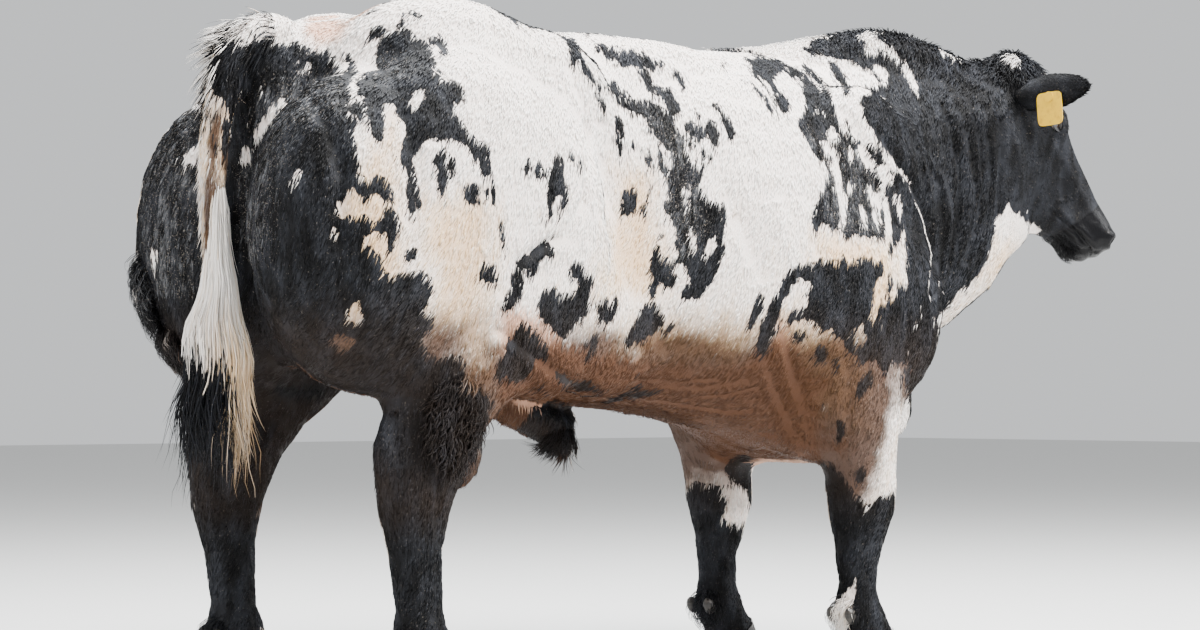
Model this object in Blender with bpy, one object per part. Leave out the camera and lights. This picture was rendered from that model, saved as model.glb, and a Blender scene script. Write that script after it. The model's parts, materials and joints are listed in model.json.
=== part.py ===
"""A life-size, still model of a standing Belgian Blue bull, in metres, +X forward, +Y to its left, +Z up.

The flesh is drawn as overlapping closed forms, lofts for the trunk, neck, head and limbs and stretched
balls for the muscles. They are fused by one voxel remesh, softened where muscle flows into muscle, thinned
out and parted by thin cuts into the pieces that a person would name. Ears, eyes, hooves, tail, sheath and
the ear tag are pieces of their own, which meet the flesh face to face.
"""

import math
import random

import bmesh
import bpy
import numpy as np
from mathutils import Euler, Matrix, Vector
from mathutils.bvhtree import BVHTree

# Driving sizes. Every table below is drawn for a bull of DRAWN_HEIGHT and is scaled to WITHERS_HEIGHT.
WITHERS_HEIGHT = 1.48
DRAWN_HEIGHT = 1.48
SCALE = WITHERS_HEIGHT / DRAWN_HEIGHT
GAP = 0.0003

# Surface settings
VOXEL = 0.0085
RING_POINTS = 40
STEPS_PER_STATION = 5
FLESH_TRIANGLES = 5000
SEED = 7
SWITCH_LOCKS = 44
POLL_LOCKS = 14
SHEATH_LOCKS = 6

# Pose: the neck swings to the right and the head hangs in front of it, nose down.
HEAD_HEADING = math.radians(-24)
HEAD_PITCH = math.radians(56)
HEAD_ROLL = math.radians(3)
POLL = Vector((1.095, -0.215, 1.475))
HIND_STEP = {"left": -0.105, "right": 0.020}
FORE_STEP = {"left": -0.080, "right": -0.035}
SIDES = {"left": 1, "right": -1}
CORONET_SLOPE = 0.40

# Trunk stations: x, half width, top, widest level, bottom, and how square the section is above and below
TRUNK = (
    (-1.030, 0.055, 1.365, 1.280, 1.160, 2.0, 2.0),
    (-0.930, 0.105, 1.430, 1.220, 1.000, 2.0, 2.0),
    (-0.740, 0.190, 1.475, 1.180, 0.850, 2.0, 2.0),
    (-0.500, 0.260, 1.490, 1.120, 0.720, 2.1, 2.0),
    (-0.300, 0.300, 1.474, 1.070, 0.650, 2.2, 2.2),
    (-0.100, 0.345, 1.462, 1.040, 0.632, 2.2, 2.3),
    (0.100, 0.382, 1.466, 1.010, 0.612, 2.2, 2.3),
    (0.280, 0.382, 1.482, 0.990, 0.570, 2.1, 2.3),
    (0.460, 0.345, 1.492, 0.970, 0.510, 2.0, 2.2),
    (0.640, 0.290, 1.480, 0.950, 0.490, 2.0, 2.2),
    (0.780, 0.225, 1.400, 0.930, 0.540, 2.0, 2.0),
    (0.880, 0.120, 1.240, 0.900, 0.640, 2.0, 2.0),
)

# Neck stations: x, y, z of the centre, half width, height above and depth below the centre
NECK = (
    (0.420, 0.000, 1.080, 0.260, 0.385, 0.380),
    (0.580, -0.010, 1.140, 0.250, 0.385, 0.420),
    (0.740, -0.045, 1.210, 0.222, 0.350, 0.460),
    (0.870, -0.105, 1.275, 0.185, 0.250, 0.430),
    (0.970, -0.160, 1.325, 0.155, 0.150, 0.390),
    (1.080, -0.215, 1.360, 0.122, 0.120, 0.330),
)

# The muscular crest along the top of the neck: x, y, z and radius
CREST = (
    (0.400, 0.000, 1.400, 0.095),
    (0.600, -0.010, 1.440, 0.095),
    (0.780, -0.060, 1.478, 0.100),
    (0.900, -0.120, 1.455, 0.095),
    (1.030, -0.185, 1.410, 0.080),
)

# Head stations in the head's own frame: distance down the face, half width, top, widest level and bottom
HEAD = (
    (-0.045, 0.050, 0.030, 0.000, -0.060, 2.2, 2.0),
    (0.000, 0.094, 0.052, 0.000, -0.125, 2.6, 2.0),
    (0.075, 0.114, 0.060, 0.005, -0.185, 3.0, 2.2),
    (0.160, 0.116, 0.060, 0.002, -0.218, 3.0, 2.4),
    (0.235, 0.096, 0.052, -0.018, -0.210, 2.8, 2.4),
    (0.315, 0.076, 0.046, -0.035, -0.168, 2.6, 2.4),
    (0.395, 0.070, 0.038, -0.035, -0.125, 2.6, 2.6),
    (0.460, 0.080, 0.033, -0.032, -0.102, 2.8, 2.8),
    (0.496, 0.078, 0.024, -0.032, -0.092, 2.8, 2.8),
    (0.518, 0.064, 0.010, -0.034, -0.080, 2.6, 2.6),
    (0.530, 0.036, -0.010, -0.036, -0.062, 2.2, 2.2),
)

# Limb stations: x, distance out from the middle, z, fore-and-aft and sideways half widths
HIND_LIMB = (
    (-0.540, 0.265, 0.980, 0.230, 0.130),
    (-0.570, 0.270, 0.860, 0.210, 0.128),
    (-0.625, 0.270, 0.745, 0.170, 0.120),
    (-0.690, 0.264, 0.650, 0.138, 0.104),
    (-0.745, 0.258, 0.565, 0.110, 0.090),
    (-0.775, 0.254, 0.490, 0.100, 0.084),
    (-0.788, 0.252, 0.425, 0.084, 0.074),
    (-0.785, 0.250, 0.350, 0.064, 0.060),
    (-0.778, 0.250, 0.270, 0.055, 0.054),
    (-0.772, 0.250, 0.210, 0.053, 0.053),
    (-0.768, 0.250, 0.160, 0.064, 0.066),
    (-0.745, 0.250, 0.112, 0.057, 0.065),
    (-0.725, 0.250, 0.074, 0.064, 0.070),
)
FORE_LIMB = (
    (0.500, 0.235, 0.840, 0.165, 0.110),
    (0.525, 0.240, 0.700, 0.138, 0.112),
    (0.570, 0.236, 0.580, 0.112, 0.100),
    (0.600, 0.228, 0.480, 0.090, 0.088),
    (0.614, 0.222, 0.400, 0.086, 0.086),
    (0.610, 0.220, 0.330, 0.066, 0.068),
    (0.604, 0.220, 0.260, 0.052, 0.054),
    (0.602, 0.220, 0.195, 0.050, 0.053),
    (0.606, 0.220, 0.145, 0.062, 0.065),
    (0.630, 0.220, 0.104, 0.055, 0.063),
    (0.650, 0.220, 0.070, 0.062, 0.070),
)

# The feet: how far the hoof lies ahead of the limb's lowest station, and how far the toes turn out
HOOF_AHEAD = 0.012
TOE_OUT = math.radians(6)

# One claw from the sole up: level, toe, heel, outer side and inner side, from the middle of the foot
CLAW = (
    (0.000, 0.098, -0.066, 0.062, 0.003),
    (0.012, 0.091, -0.068, 0.064, 0.003),
    (0.040, 0.073, -0.064, 0.062, 0.003),
    (0.070, 0.054, -0.056, 0.058, 0.004),
    (0.105, 0.034, -0.046, 0.050, 0.006),
)
DEWCLAW_BACK = 0.102
DEWCLAW_OUT = 0.030
DEWCLAW_LEVEL = 0.140
DEWCLAW_RADII = (0.015, 0.014, 0.022)

# Tail: x, y, z and radius. The first point lies inside the rump, and the bone ends in the switch.
TAIL = (
    (-0.900, 0.000, 1.385, 0.055),
    (-0.975, 0.000, 1.400, 0.052),
    (-1.045, 0.000, 1.345, 0.044),
    (-1.085, 0.000, 1.220, 0.034),
    (-1.098, -0.004, 1.060, 0.029),
    (-1.090, -0.010, 0.900, 0.025),
    (-1.080, -0.014, 0.780, 0.022),
)
TAIL_CUTS = (1.10, 0.82)
SWITCH = (
    (-1.084, -0.013, 0.850, 0.023),
    (-1.080, -0.014, 0.765, 0.026),
    (-1.079, -0.013, 0.710, 0.039),
    (-1.077, -0.011, 0.650, 0.044),
    (-1.076, -0.008, 0.570, 0.038),
    (-1.077, -0.003, 0.490, 0.022),
    (-1.078, 0.000, 0.450, 0.010),
)

# Sheath along the belly and scrotum between the thighs: x, y, z and radius, and balls of the scrotum
SHEATH = (
    (-0.430, 0.000, 0.690, 0.034),
    (-0.330, 0.000, 0.640, 0.040),
    (-0.240, 0.000, 0.605, 0.046),
    (-0.175, 0.000, 0.578, 0.042),
    (-0.150, 0.000, 0.560, 0.024),
)
SCROTUM = (
    ((-0.500, 0.046, 0.545), (0.066, 0.060, 0.100)),
    ((-0.505, -0.046, 0.550), (0.066, 0.060, 0.098)),
    ((-0.495, 0.000, 0.640), (0.058, 0.078, 0.100)),
)

# Ear: distance from the root, half width, cup depth and thickness
EAR = (
    (-0.030, 0.022, 0.020, 0.020),
    (0.010, 0.030, 0.026, 0.016),
    (0.050, 0.040, 0.025, 0.011),
    (0.095, 0.046, 0.021, 0.009),
    (0.140, 0.042, 0.015, 0.008),
    (0.180, 0.031, 0.008, 0.007),
    (0.208, 0.016, 0.003, 0.006),
    (0.218, 0.005, 0.001, 0.004),
)
EAR_ROOT = (0.062, 0.088, -0.042)
EAR_FORWARD = math.radians(30)
EAR_LIFT = math.radians(4)

# Eye: centre in the head's frame, radius, and half sizes of the opening between the lids
EYE_CENTRE = (0.168, 0.092, 0.010)
EYE_RADIUS = 0.0205
LID_OPENING = (0.0235, 0.0260, 0.0125)

# Nostrils, as the way to each from inside the muzzle, half sizes and turns, and the line of the mouth
NOSTRIL_FROM = (0.460, 0.020, -0.020)
NOSTRIL_WAY = (1.0, 0.62, 0.28)
NOSTRIL_RADII = (0.015, 0.023, 0.011)
NOSTRIL_TURNS = (0, 20, -38)
MOUTH_LEVELS = ((0.400, -0.088), (0.450, -0.078), (0.490, -0.070), (0.530, -0.066))
MOUTH_RADIUS = 0.0035

# Ear tag: panel size, thickness, stem radius and button radius
TAG_PANEL = (0.072, 0.082)
TAG_THICKNESS = 0.0025
TAG_STEM = 0.004
TAG_BUTTON = 0.013
TAG_REACH = 0.120
TAG_HOLE_LEVEL = -0.016
TAG_BEHIND = 0.024
TAG_IN_FRONT = 0.010

# Where the flesh is parted: centre, size and turns of each box
HEAD_CUT = ((1.520, -0.400, 1.300), (1.000, 1.400, 1.400), (0, 0, -24))
NECK_CUT = ((1.340, -0.200, 1.100), (1.000, 1.600, 1.800), (0, -14, -14))
LIMB_CUTS = (
    ("hind_leg", (-0.750, 0.300, 0.300), (0.900, 0.590, 0.720), (0, 0, 0)),
    ("fore_leg", (0.600, 0.420, 0.250), (0.640, 0.590, 0.600), (0, 0, 0)),
    ("hindquarter", (-0.900, 0.500, 1.100), (1.000, 0.999, 1.400), (0, 0, 0)),
)

# Muscles of each side: centre (x, out, z), half sizes, and turns about X, Y and Z in degrees
PAIRED_MUSCLES = {
    "loin": ((-0.080, 0.110, 1.360), (0.500, 0.125, 0.115), (0, 0, 0)),
    "rump": ((-0.600, 0.146, 1.285), (0.310, 0.180, 0.222), (-24, 13, 0)),
    "hip": ((-0.440, 0.194, 1.235), (0.240, 0.148, 0.222), (-18, 0, 0)),
    "buttock": ((-0.885, 0.212, 0.985), (0.240, 0.205, 0.335), (0, -4, 0)),
    "outer_thigh": ((-0.720, 0.270, 1.030), (0.270, 0.165, 0.350), (-6, 10, 0)),
    "front_thigh": ((-0.490, 0.275, 1.010), (0.200, 0.145, 0.330), (-4, -12, 0)),
    "stifle": ((-0.465, 0.280, 0.800), (0.140, 0.095, 0.170), (0, 0, 0)),
    "calf": ((-0.680, 0.285, 0.740), (0.120, 0.098, 0.165), (0, 28, 0)),
    "flank": ((-0.320, 0.225, 0.830), (0.240, 0.100, 0.170), (0, 30, 0)),
    "flank_web": ((-0.390, 0.232, 0.950), (0.190, 0.100, 0.210), (0, 10, 0)),
    "blade": ((0.495, 0.204, 1.085), (0.240, 0.118, 0.330), (-12, 12, 0)),
    "front_blade": ((0.650, 0.176, 1.070), (0.170, 0.122, 0.290), (-12, 14, 0)),
    "triceps": ((0.415, 0.284, 0.910), (0.225, 0.112, 0.225), (0, 24, 0)),
    "shoulder_point": ((0.630, 0.228, 0.875), (0.190, 0.134, 0.240), (0, -10, 0)),
    "forearm": ((0.522, 0.264, 0.695), (0.140, 0.096, 0.200), (0, -6, 0)),
    "pectoral": ((0.580, 0.120, 0.640), (0.270, 0.125, 0.150), (0, 0, 0)),
}
MIDDLE_MUSCLES = {
    "brisket": ((0.720, 0.000, 0.760), (0.190, 0.160, 0.220), (0, 0, 0)),
    "crotch": ((-0.800, 0.000, 0.930), (0.160, 0.130, 0.260), (0, 0, 0)),
    "tail_head": ((-0.845, 0.000, 1.305), (0.185, 0.110, 0.135), (0, 20, 0)),
}


def clear_scene():
    """Removes whatever objects the scene starts with."""
    for old in list(bpy.data.objects):
        bpy.data.objects.remove(old)


def material(name, colour, roughness, metallic=0.0):
    """A Principled material of one colour."""
    made = bpy.data.materials.new(name)
    made.use_nodes = True
    shader = made.node_tree.nodes["Principled BSDF"]
    shader.inputs["Base Color"].default_value = (*colour, 1.0)
    shader.inputs["Roughness"].default_value = roughness
    shader.inputs["Metallic"].default_value = metallic
    return made


def new_object(name, mesh, finish=None):
    """An object in the scene that holds this mesh."""
    made = bpy.data.objects.new(name, mesh)
    bpy.context.scene.collection.objects.link(made)
    if finish is not None:
        mesh.materials.clear()
        mesh.materials.append(finish)
    return made


def evaluated_copy(obj):
    """A new mesh with the object's modifiers applied."""
    bpy.context.view_layer.update()
    graph = bpy.context.evaluated_depsgraph_get()
    return bpy.data.meshes.new_from_object(obj.evaluated_get(graph))


def apply_modifiers(obj):
    """Bakes the object's modifiers into its own mesh."""
    mesh = evaluated_copy(obj)
    obj.modifiers.clear()
    obj.data = mesh


def stations(rows, steps=STEPS_PER_STATION):
    """Rows of numbers turned into a finer run of rows, on a curve that passes through each of them."""
    points = np.array(rows, float)
    padded = np.vstack([2 * points[0] - points[1], points, 2 * points[-1] - points[-2]])
    run = []
    for i in range(1, len(padded) - 2):
        before, start, end, after = padded[i - 1 : i + 3]
        for t in np.arange(steps) / steps:
            run.append(
                0.5
                * (
                    2 * start
                    + (end - before) * t
                    + (2 * before - 5 * start + 4 * end - after) * t**2
                    + (3 * start - before - 3 * end + after) * t**3
                )
            )
    run.append(points[-1])
    return np.array(run)


def section(half_width, above, below, upper_power=2.0, lower_power=2.0, count=RING_POINTS):
    """A closed rounded outline, as pairs across and up, which can be fuller above than below."""
    angle = np.linspace(0, 2 * math.pi, count, endpoint=False)
    side, rise = np.cos(angle), np.sin(angle)
    power = np.where(rise > 0, upper_power, lower_power)
    across = half_width * np.sign(side) * np.abs(side) ** (2 / power)
    up = np.where(rise > 0, above, below) * np.sign(rise) * np.abs(rise) ** (2 / power)
    return np.stack([across, up], axis=1)


def add_loft(bm, rings):
    """Adds to the bmesh a closed skin over rings of points, with a point-centred cap at each end."""
    made = [[bm.verts.new(Vector(point)) for point in ring] for ring in rings]
    count = len(made[0])
    for first, second in zip(made, made[1:]):
        for i in range(count):
            j = (i + 1) % count
            bm.faces.new((first[i], first[j], second[j], second[i]))
    for ring, turned in ((made[0], True), (made[-1], False)):
        middle = bm.verts.new(sum((v.co for v in ring), Vector()) / count)
        for i in range(count):
            j = (i + 1) % count
            corners = (ring[j], ring[i], middle) if turned else (ring[i], ring[j], middle)
            bm.faces.new(corners)


def add_ball(bm, centre, radii, turns=(0, 0, 0), base=None, subdivisions=4):
    """Adds a stretched ball. The turns are in degrees, and base is the frame that it is placed in."""
    turn = Euler([math.radians(t) for t in turns]).to_matrix().to_4x4()
    place = Matrix.Translation(centre) @ turn @ Matrix.Diagonal((*radii, 1))
    if base is not None:
        place = base @ place
    bmesh.ops.create_icosphere(bm, subdivisions=subdivisions, radius=1, matrix=place)


def bar_rings(rows, count, steps):
    """Round rings square to a smooth path through rows of x, y, z and radius, without a twist."""
    table = stations(rows, steps)
    along = np.gradient(table[:, :3], axis=0)
    side = Vector(along[0]).orthogonal()
    rings = []
    for centre, tangent, radius in zip(table[:, :3], along, table[:, 3]):
        forward = Vector(tangent).normalized()
        side = (side - forward * side.dot(forward)).normalized()
        up = forward.cross(side)
        angle = np.linspace(0, 2 * math.pi, count, endpoint=False)
        rings.append(centre + radius * (np.outer(np.cos(angle), side) + np.outer(np.sin(angle), up)))
    return rings


def add_strut(bm, rows, count=20):
    """Adds a round bar with rounded ends through rows of x, y, z and radius."""
    add_loft(bm, bar_rings(rows, count, STEPS_PER_STATION))
    for row in (rows[0], rows[-1]):
        add_ball(bm, row[:3], (row[3] * 0.999,) * 3, subdivisions=3)


def mesh_of(bm, name):
    """The bmesh as a mesh of triangles that face outward."""
    bmesh.ops.triangulate(bm, faces=bm.faces)
    bmesh.ops.recalc_face_normals(bm, faces=bm.faces)
    mesh = bpy.data.meshes.new(name)
    bm.to_mesh(mesh)
    bm.free()
    return mesh


def head_frame():
    """The matrix of the head's own frame: down the face, to the left, and out of the forehead."""
    heading = Matrix.Rotation(HEAD_HEADING, 4, "Z")
    pitch = Matrix.Rotation(HEAD_PITCH, 4, "Y")
    roll = Matrix.Rotation(HEAD_ROLL, 4, "X")
    return Matrix.Translation(POLL) @ heading @ pitch @ roll


def in_frame(frame, points):
    """Points of a frame as points of the scene."""
    m = np.array(frame)
    return np.asarray(points, float) @ m[:3, :3].T + m[:3, 3]


def trunk_rings():
    rings = []
    for x, half, top, wide, bottom, upper, lower in stations(TRUNK):
        outline = section(half, top - wide, wide - bottom, upper, lower)
        rings.append(np.column_stack([np.full(len(outline), x), outline[:, 0], wide + outline[:, 1]]))
    return rings


def neck_rings():
    rows = stations(NECK)
    along = np.gradient(rows[:, :3], axis=0)
    rings = []
    for (x, y, z, half, above, below), tangent in zip(rows, along):
        forward = Vector(tangent).normalized()
        left = Vector((0, 0, 1)).cross(forward).normalized()
        up = forward.cross(left)
        outline = section(half, above, below, 1.75, 1.9)
        rings.append([Vector((x, y, z)) + left * a + up * b for a, b in outline])
    return rings


def head_rings():
    rings = []
    for down, half, top, wide, bottom, upper, lower in stations(HEAD):
        outline = section(half, top - wide, wide - bottom, upper, lower)
        local = np.column_stack([np.full(len(outline), down), outline[:, 0], wide + outline[:, 1]])
        rings.append(in_frame(head_frame(), local))
    return rings


def limb_rings(rows, side, step):
    """Rings down a limb, level but for the foot. The step moves the foot, and nothing at the top."""
    rings = []
    table = stations(rows)
    top = table[0, 2]
    for x, out, z, fore, wide in table:
        shift = step * min(1.0, max(0.0, (top - z) / (top * 0.5)))
        outline = section(wide, fore, fore)
        slope = CORONET_SLOPE * (1 - smoothstep(z, 0.07, 0.19))
        level = z + slope * outline[:, 1]
        rings.append(np.column_stack([x + shift + outline[:, 1], side * out + outline[:, 0], level]))
    return rings


def add_hock(bm, side, step):
    """The point of the hock and the tendon that runs up from it to the calf."""
    x, out = -0.868 + step, 0.253 * side
    rows = (
        (x + 0.050, out, 0.440, 0.034),
        (x, out, 0.545, 0.034),
        (x + 0.030, out * 1.02, 0.640, 0.027),
        (x + 0.110, out * 1.04, 0.760, 0.045),
    )
    add_strut(bm, rows)


def add_head_forms(bm):
    """Cheeks, brows, muzzle, lips and chin, in the head's own frame."""
    base = head_frame()
    for side in SIDES.values():
        add_ball(bm, (0.155, side * 0.072, -0.110), (0.110, 0.042, 0.105), (0, 12, 0), base)
        add_ball(bm, (0.165, side * 0.100, 0.018), (0.050, 0.030, 0.036), (0, 0, side * -8), base)
        add_ball(bm, (0.280, side * 0.052, -0.030), (0.110, 0.026, 0.040), (0, 8, 0), base)
        add_ball(bm, (0.495, side * 0.050, -0.012), (0.036, 0.032, 0.034), (0, 0, 0), base)
        add_ball(bm, (0.435, side * 0.054, -0.066), (0.056, 0.028, 0.030), (0, 0, 0), base)
        add_ball(bm, (0.065, side * 0.095, 0.000), (0.040, 0.038, 0.038), (0, 0, 0), base)
    add_ball(bm, (0.030, 0, 0.045), (0.075, 0.092, 0.038), (0, 0, 0), base)
    add_ball(bm, (0.478, 0, -0.096), (0.042, 0.054, 0.024), (0, 0, 0), base)
    add_ball(bm, (0.300, 0, -0.135), (0.190, 0.052, 0.056), (0, -21, 0), base)
    add_ball(bm, (0.170, 0, -0.225), (0.170, 0.074, 0.075), (0, 6, 0), base)


def flesh_forms():
    """All the overlapping forms of the flesh, as one mesh of closed shells."""
    bm = bmesh.new()
    add_loft(bm, trunk_rings())
    add_loft(bm, neck_rings())
    add_loft(bm, head_rings())
    for word, side in SIDES.items():
        add_loft(bm, limb_rings(HIND_LIMB, side, HIND_STEP[word]))
        add_loft(bm, limb_rings(FORE_LIMB, side, FORE_STEP[word]))
        add_hock(bm, side, HIND_STEP[word])
        for centre, radii, turns in PAIRED_MUSCLES.values():
            x, out, z = centre
            tilt, pitch, yaw = turns
            add_ball(bm, (x, side * out, z), radii, (side * tilt, pitch, side * yaw))
    for centre, radii, turns in MIDDLE_MUSCLES.values():
        add_ball(bm, centre, radii, turns)
    add_strut(bm, CREST, 32)
    add_head_forms(bm)
    return mesh_of(bm, "flesh_forms")


def smoothstep(value, low, high):
    """0 below low, 1 above high, and a soft rise between them."""
    t = np.clip((value - low) / (high - low), 0, 1)
    return t * t * (3 - 2 * t)


def mesh_points(mesh):
    """The mesh's vertices as an array."""
    points = np.empty(len(mesh.vertices) * 3)
    mesh.vertices.foreach_get("co", points)
    return points.reshape(-1, 3)


def head_share(points):
    """How much of each point belongs to the head, from 0 on the neck to 1 past the ears."""
    local = in_frame(head_frame().inverted(), points)
    down, out = local[:, 0], local[:, 2]
    return smoothstep(down, -0.05, 0.08) * smoothstep(out, -0.30, -0.14) * (points[:, 0] > 0.8)


def add_weights(obj, name, weights):
    """A vertex group that holds one weight for each vertex."""
    group = obj.vertex_groups.new(name=name)
    levels = np.round(weights * 20).astype(int)
    for level in np.unique(levels):
        group.add(np.flatnonzero(levels == level).tolist(), level / 20, "REPLACE")


def fused_flesh():
    """The forms fused by a voxel remesh, softened and thinned out."""
    fused = new_object("flesh", flesh_forms())
    remesh = fused.modifiers.new("fuse", "REMESH")
    remesh.mode = "VOXEL"
    remesh.voxel_size = VOXEL
    apply_modifiers(fused)
    points = mesh_points(fused.data)
    head = head_share(points)
    foot = 1 - smoothstep(points[:, 2], 0.30, 0.75)
    add_weights(fused, "soft", (1 - 0.80 * head) * (1 - 0.85 * foot))
    soften = fused.modifiers.new("soften", "SMOOTH")
    soften.factor = 0.6
    soften.iterations = 170
    soften.vertex_group = "soft"
    apply_modifiers(fused)
    add_weights(fused, "keep", 1 - 0.03 * head)
    thin = fused.modifiers.new("thin", "DECIMATE")
    thin.ratio = FLESH_TRIANGLES / (2 * len(fused.data.polygons))
    thin.vertex_group = "keep"
    thin.vertex_group_factor = 0.6
    apply_modifiers(fused)
    bm = bmesh.new()
    bm.from_mesh(fused.data)
    fused.data = mesh_of(bm, "flesh")
    return fused


def grown(obj, amount):
    """A hidden copy of the object with its surface moved outward."""
    copy = new_object(obj.name + "_grown", obj.data.copy())
    swell = copy.modifiers.new("swell", "DISPLACE")
    swell.strength = amount
    swell.mid_level = 0
    apply_modifiers(copy)
    return copy


def combine(obj, tool, operation, solver="EXACT"):
    """Bakes one Boolean of the object with another closed object."""
    cut = obj.modifiers.new("cut", "BOOLEAN")
    cut.operation = operation
    cut.solver = solver
    cut.object = tool
    apply_modifiers(obj)


def remove(*objects):
    """Takes helper objects out of the scene."""
    for obj in objects:
        bpy.data.objects.remove(obj)


def box(name, centre, size, turns=(0, 0, 0)):
    """A plain box, with its turns in degrees."""
    bm = bmesh.new()
    turn = Euler([math.radians(t) for t in turns]).to_matrix().to_4x4()
    place = Matrix.Translation(centre) @ turn @ Matrix.Diagonal((*size, 1))
    bmesh.ops.create_cube(bm, size=1, matrix=place)
    made = new_object(name, mesh_of(bm, name))
    made.hide_render = True
    made.display_type = "WIRE"
    return made


def split(obj, name, centre, size, turns=(0, 0, 0)):
    """Parts the object with a box, a thin gap wide. Gives back the piece that lies inside the box."""
    inner = box("inner_cutter", centre, [s - GAP for s in size], turns)
    outer = box("outer_cutter", centre, [s + GAP for s in size], turns)
    inside = new_object(name, obj.data.copy())
    combine(inside, inner, "INTERSECT")
    combine(obj, outer, "DIFFERENCE")
    remove(inner, outer)
    return inside


def tidy(obj):
    """Keeps the largest closed surface of the object and turns its faces into triangles."""
    bm = bmesh.new()
    bm.from_mesh(obj.data)
    bmesh.ops.dissolve_degenerate(bm, dist=1e-6, edges=bm.edges)
    bmesh.ops.triangulate(bm, faces=bm.faces)
    left = set(bm.verts)
    islands = []
    while left:
        seed = left.pop()
        island, edge_of = {seed}, [seed]
        while edge_of:
            for edge in edge_of.pop().link_edges:
                for vert in edge.verts:
                    if vert in left:
                        left.remove(vert)
                        island.add(vert)
                        edge_of.append(vert)
        islands.append(island)
    largest = max(islands, key=len)
    bmesh.ops.delete(bm, geom=[v for v in bm.verts if v not in largest], context="VERTS")
    bm.to_mesh(obj.data)
    bm.free()
    obj.data.update()


def finish(obj, look):
    """Gives the object its one material."""
    obj.data.materials.clear()
    obj.data.materials.append(look)
    for polygon in obj.data.polygons:
        polygon.material_index = 0


def attach(obj, flesh_grown, look):
    """Trims a piece to lie against the flesh, and tidies it."""
    combine(obj, flesh_grown, "DIFFERENCE")
    tidy(obj)
    finish(obj, look)


def foot_centres():
    """Where each foot stands: its name, x, y and side."""
    feet = []
    for word, side in SIDES.items():
        for limb, rows, step in (("fore", FORE_LIMB, FORE_STEP), ("hind", HIND_LIMB, HIND_STEP)):
            x, out = rows[-1][:2]
            feet.append((f"{limb}_{word}", x + step[word], side * out, side))
    return feet


def claw(name, x, y, turn, half):
    """One claw of a foot, with a flat sole at the floor. Half is 1 for the left claw and -1 for the right."""
    rings = []
    for level, toe, heel, outer, inner in CLAW:
        angle = np.linspace(0, 2 * math.pi, 14, endpoint=False)
        ahead, across = np.cos(angle), np.sin(angle)
        reach = np.where(ahead > 0, toe, -heel)
        length = np.sign(ahead) * np.abs(ahead) ** np.where(ahead > 0, 1.15, 0.75) * reach
        middle, width = (outer + inner) / 2, (outer - inner) / 2
        side = middle + width * np.sign(across) * np.abs(across) ** 0.75
        pull = np.clip(length / toe, 0, 1) ** 2 * (middle * 0.55)
        points = np.column_stack([length + HOOF_AHEAD, half * (side - pull), np.full(14, level)])
        spun = points @ np.array(Matrix.Rotation(turn, 3, "Z")).T
        rings.append(spun + np.array([x, y, 0]))
    bm = bmesh.new()
    add_loft(bm, rings)
    return new_object(name, mesh_of(bm, name))


def dewclaw(name, x, y, half):
    """One small claw behind the fetlock."""
    bm = bmesh.new()
    centre = (x - DEWCLAW_BACK, y + half * DEWCLAW_OUT, DEWCLAW_LEVEL)
    add_ball(bm, centre, DEWCLAW_RADII, (0, -25, 0), subdivisions=2)
    return new_object(name, mesh_of(bm, name))


def strut_object(name, rows, count, steps=3):
    """A round bar with flat ends through rows of x, y, z and radius, as an object."""
    bm = bmesh.new()
    add_loft(bm, bar_rings(rows, count, steps))
    return new_object(name, mesh_of(bm, name))


def lock(name, root, down, outward, length, width, bend):
    """One flat, tapered and bending lock of hair, as a closed object with its root at the given point."""
    down, outward = Vector(down).normalized(), Vector(outward).normalized()
    across = down.cross(outward).normalized()
    rings = []
    for t, share in ((0.0, 0.75), (0.35, 1.0), (0.75, 0.55), (1.0, 0.06)):
        curl = bend * math.sin(t * math.pi * 0.9)
        bulge = 0.35 * abs(bend) * math.sin(math.pi * t)
        centre = Vector(root) + down * (length * t) + across * curl + outward * bulge
        half, thick = width * share, width * share * 0.60
        rings.append([centre + across * half, centre + outward * thick, centre - across * half])
    bm = bmesh.new()
    add_loft(bm, [[np.array(p) for p in ring] for ring in rings])
    return new_object(name, mesh_of(bm, name))


def join_locks(obj, locks):
    """Unites the object with all its locks in one go, and keeps the one surface."""
    bunch = bpy.data.collections.new("locks")
    for each in locks:
        bunch.objects.link(each)
    union = obj.modifiers.new("locks", "BOOLEAN")
    union.operation = "UNION"
    union.solver = "EXACT"
    union.operand_type = "COLLECTION"
    union.collection = bunch
    apply_modifiers(obj)
    remove(*locks)
    bpy.data.collections.remove(bunch)
    tidy(obj)


def ear(name, side):
    """A cupped leaf of an ear, open to the front, with a short stalk inside the head."""
    frame = ear_frame(side)
    rings = []
    for reach, half, cup, thick in stations(EAR, 2):
        v = np.linspace(-1, 1, 8)
        edge = 0.35 + 0.65 * np.sqrt(1 - v**2)
        back = np.column_stack([np.full(8, reach), half * v, cup * (v**2 - 0.6) - thick * edge / 2])
        front = np.column_stack([np.full(8, reach), half * v[::-1], cup * (v[::-1] ** 2 - 0.6) + thick * edge[::-1] / 2])
        rings.append(in_frame(frame, np.vstack([back, front])))
    bm = bmesh.new()
    add_loft(bm, rings)
    return new_object(name, mesh_of(bm, name))


def ear_frame(side):
    """The ear's own frame: out along the ear, up across it, and out of its cup to the front."""
    heading = Matrix.Rotation(HEAD_HEADING, 4, "Z")
    root = head_frame() @ Vector((EAR_ROOT[0], side * EAR_ROOT[1], EAR_ROOT[2]))
    out = heading @ Vector((math.sin(EAR_FORWARD), side * math.cos(EAR_FORWARD), math.tan(EAR_LIFT)))
    out.normalize()
    up = Vector((0, 0, 1))
    up = (up - out * up.dot(out)).normalized()
    cup = out.cross(up) if side > 0 else up.cross(out)
    columns = Matrix((out, up, cup)).transposed().to_4x4()
    return Matrix.Translation(root) @ columns


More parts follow.
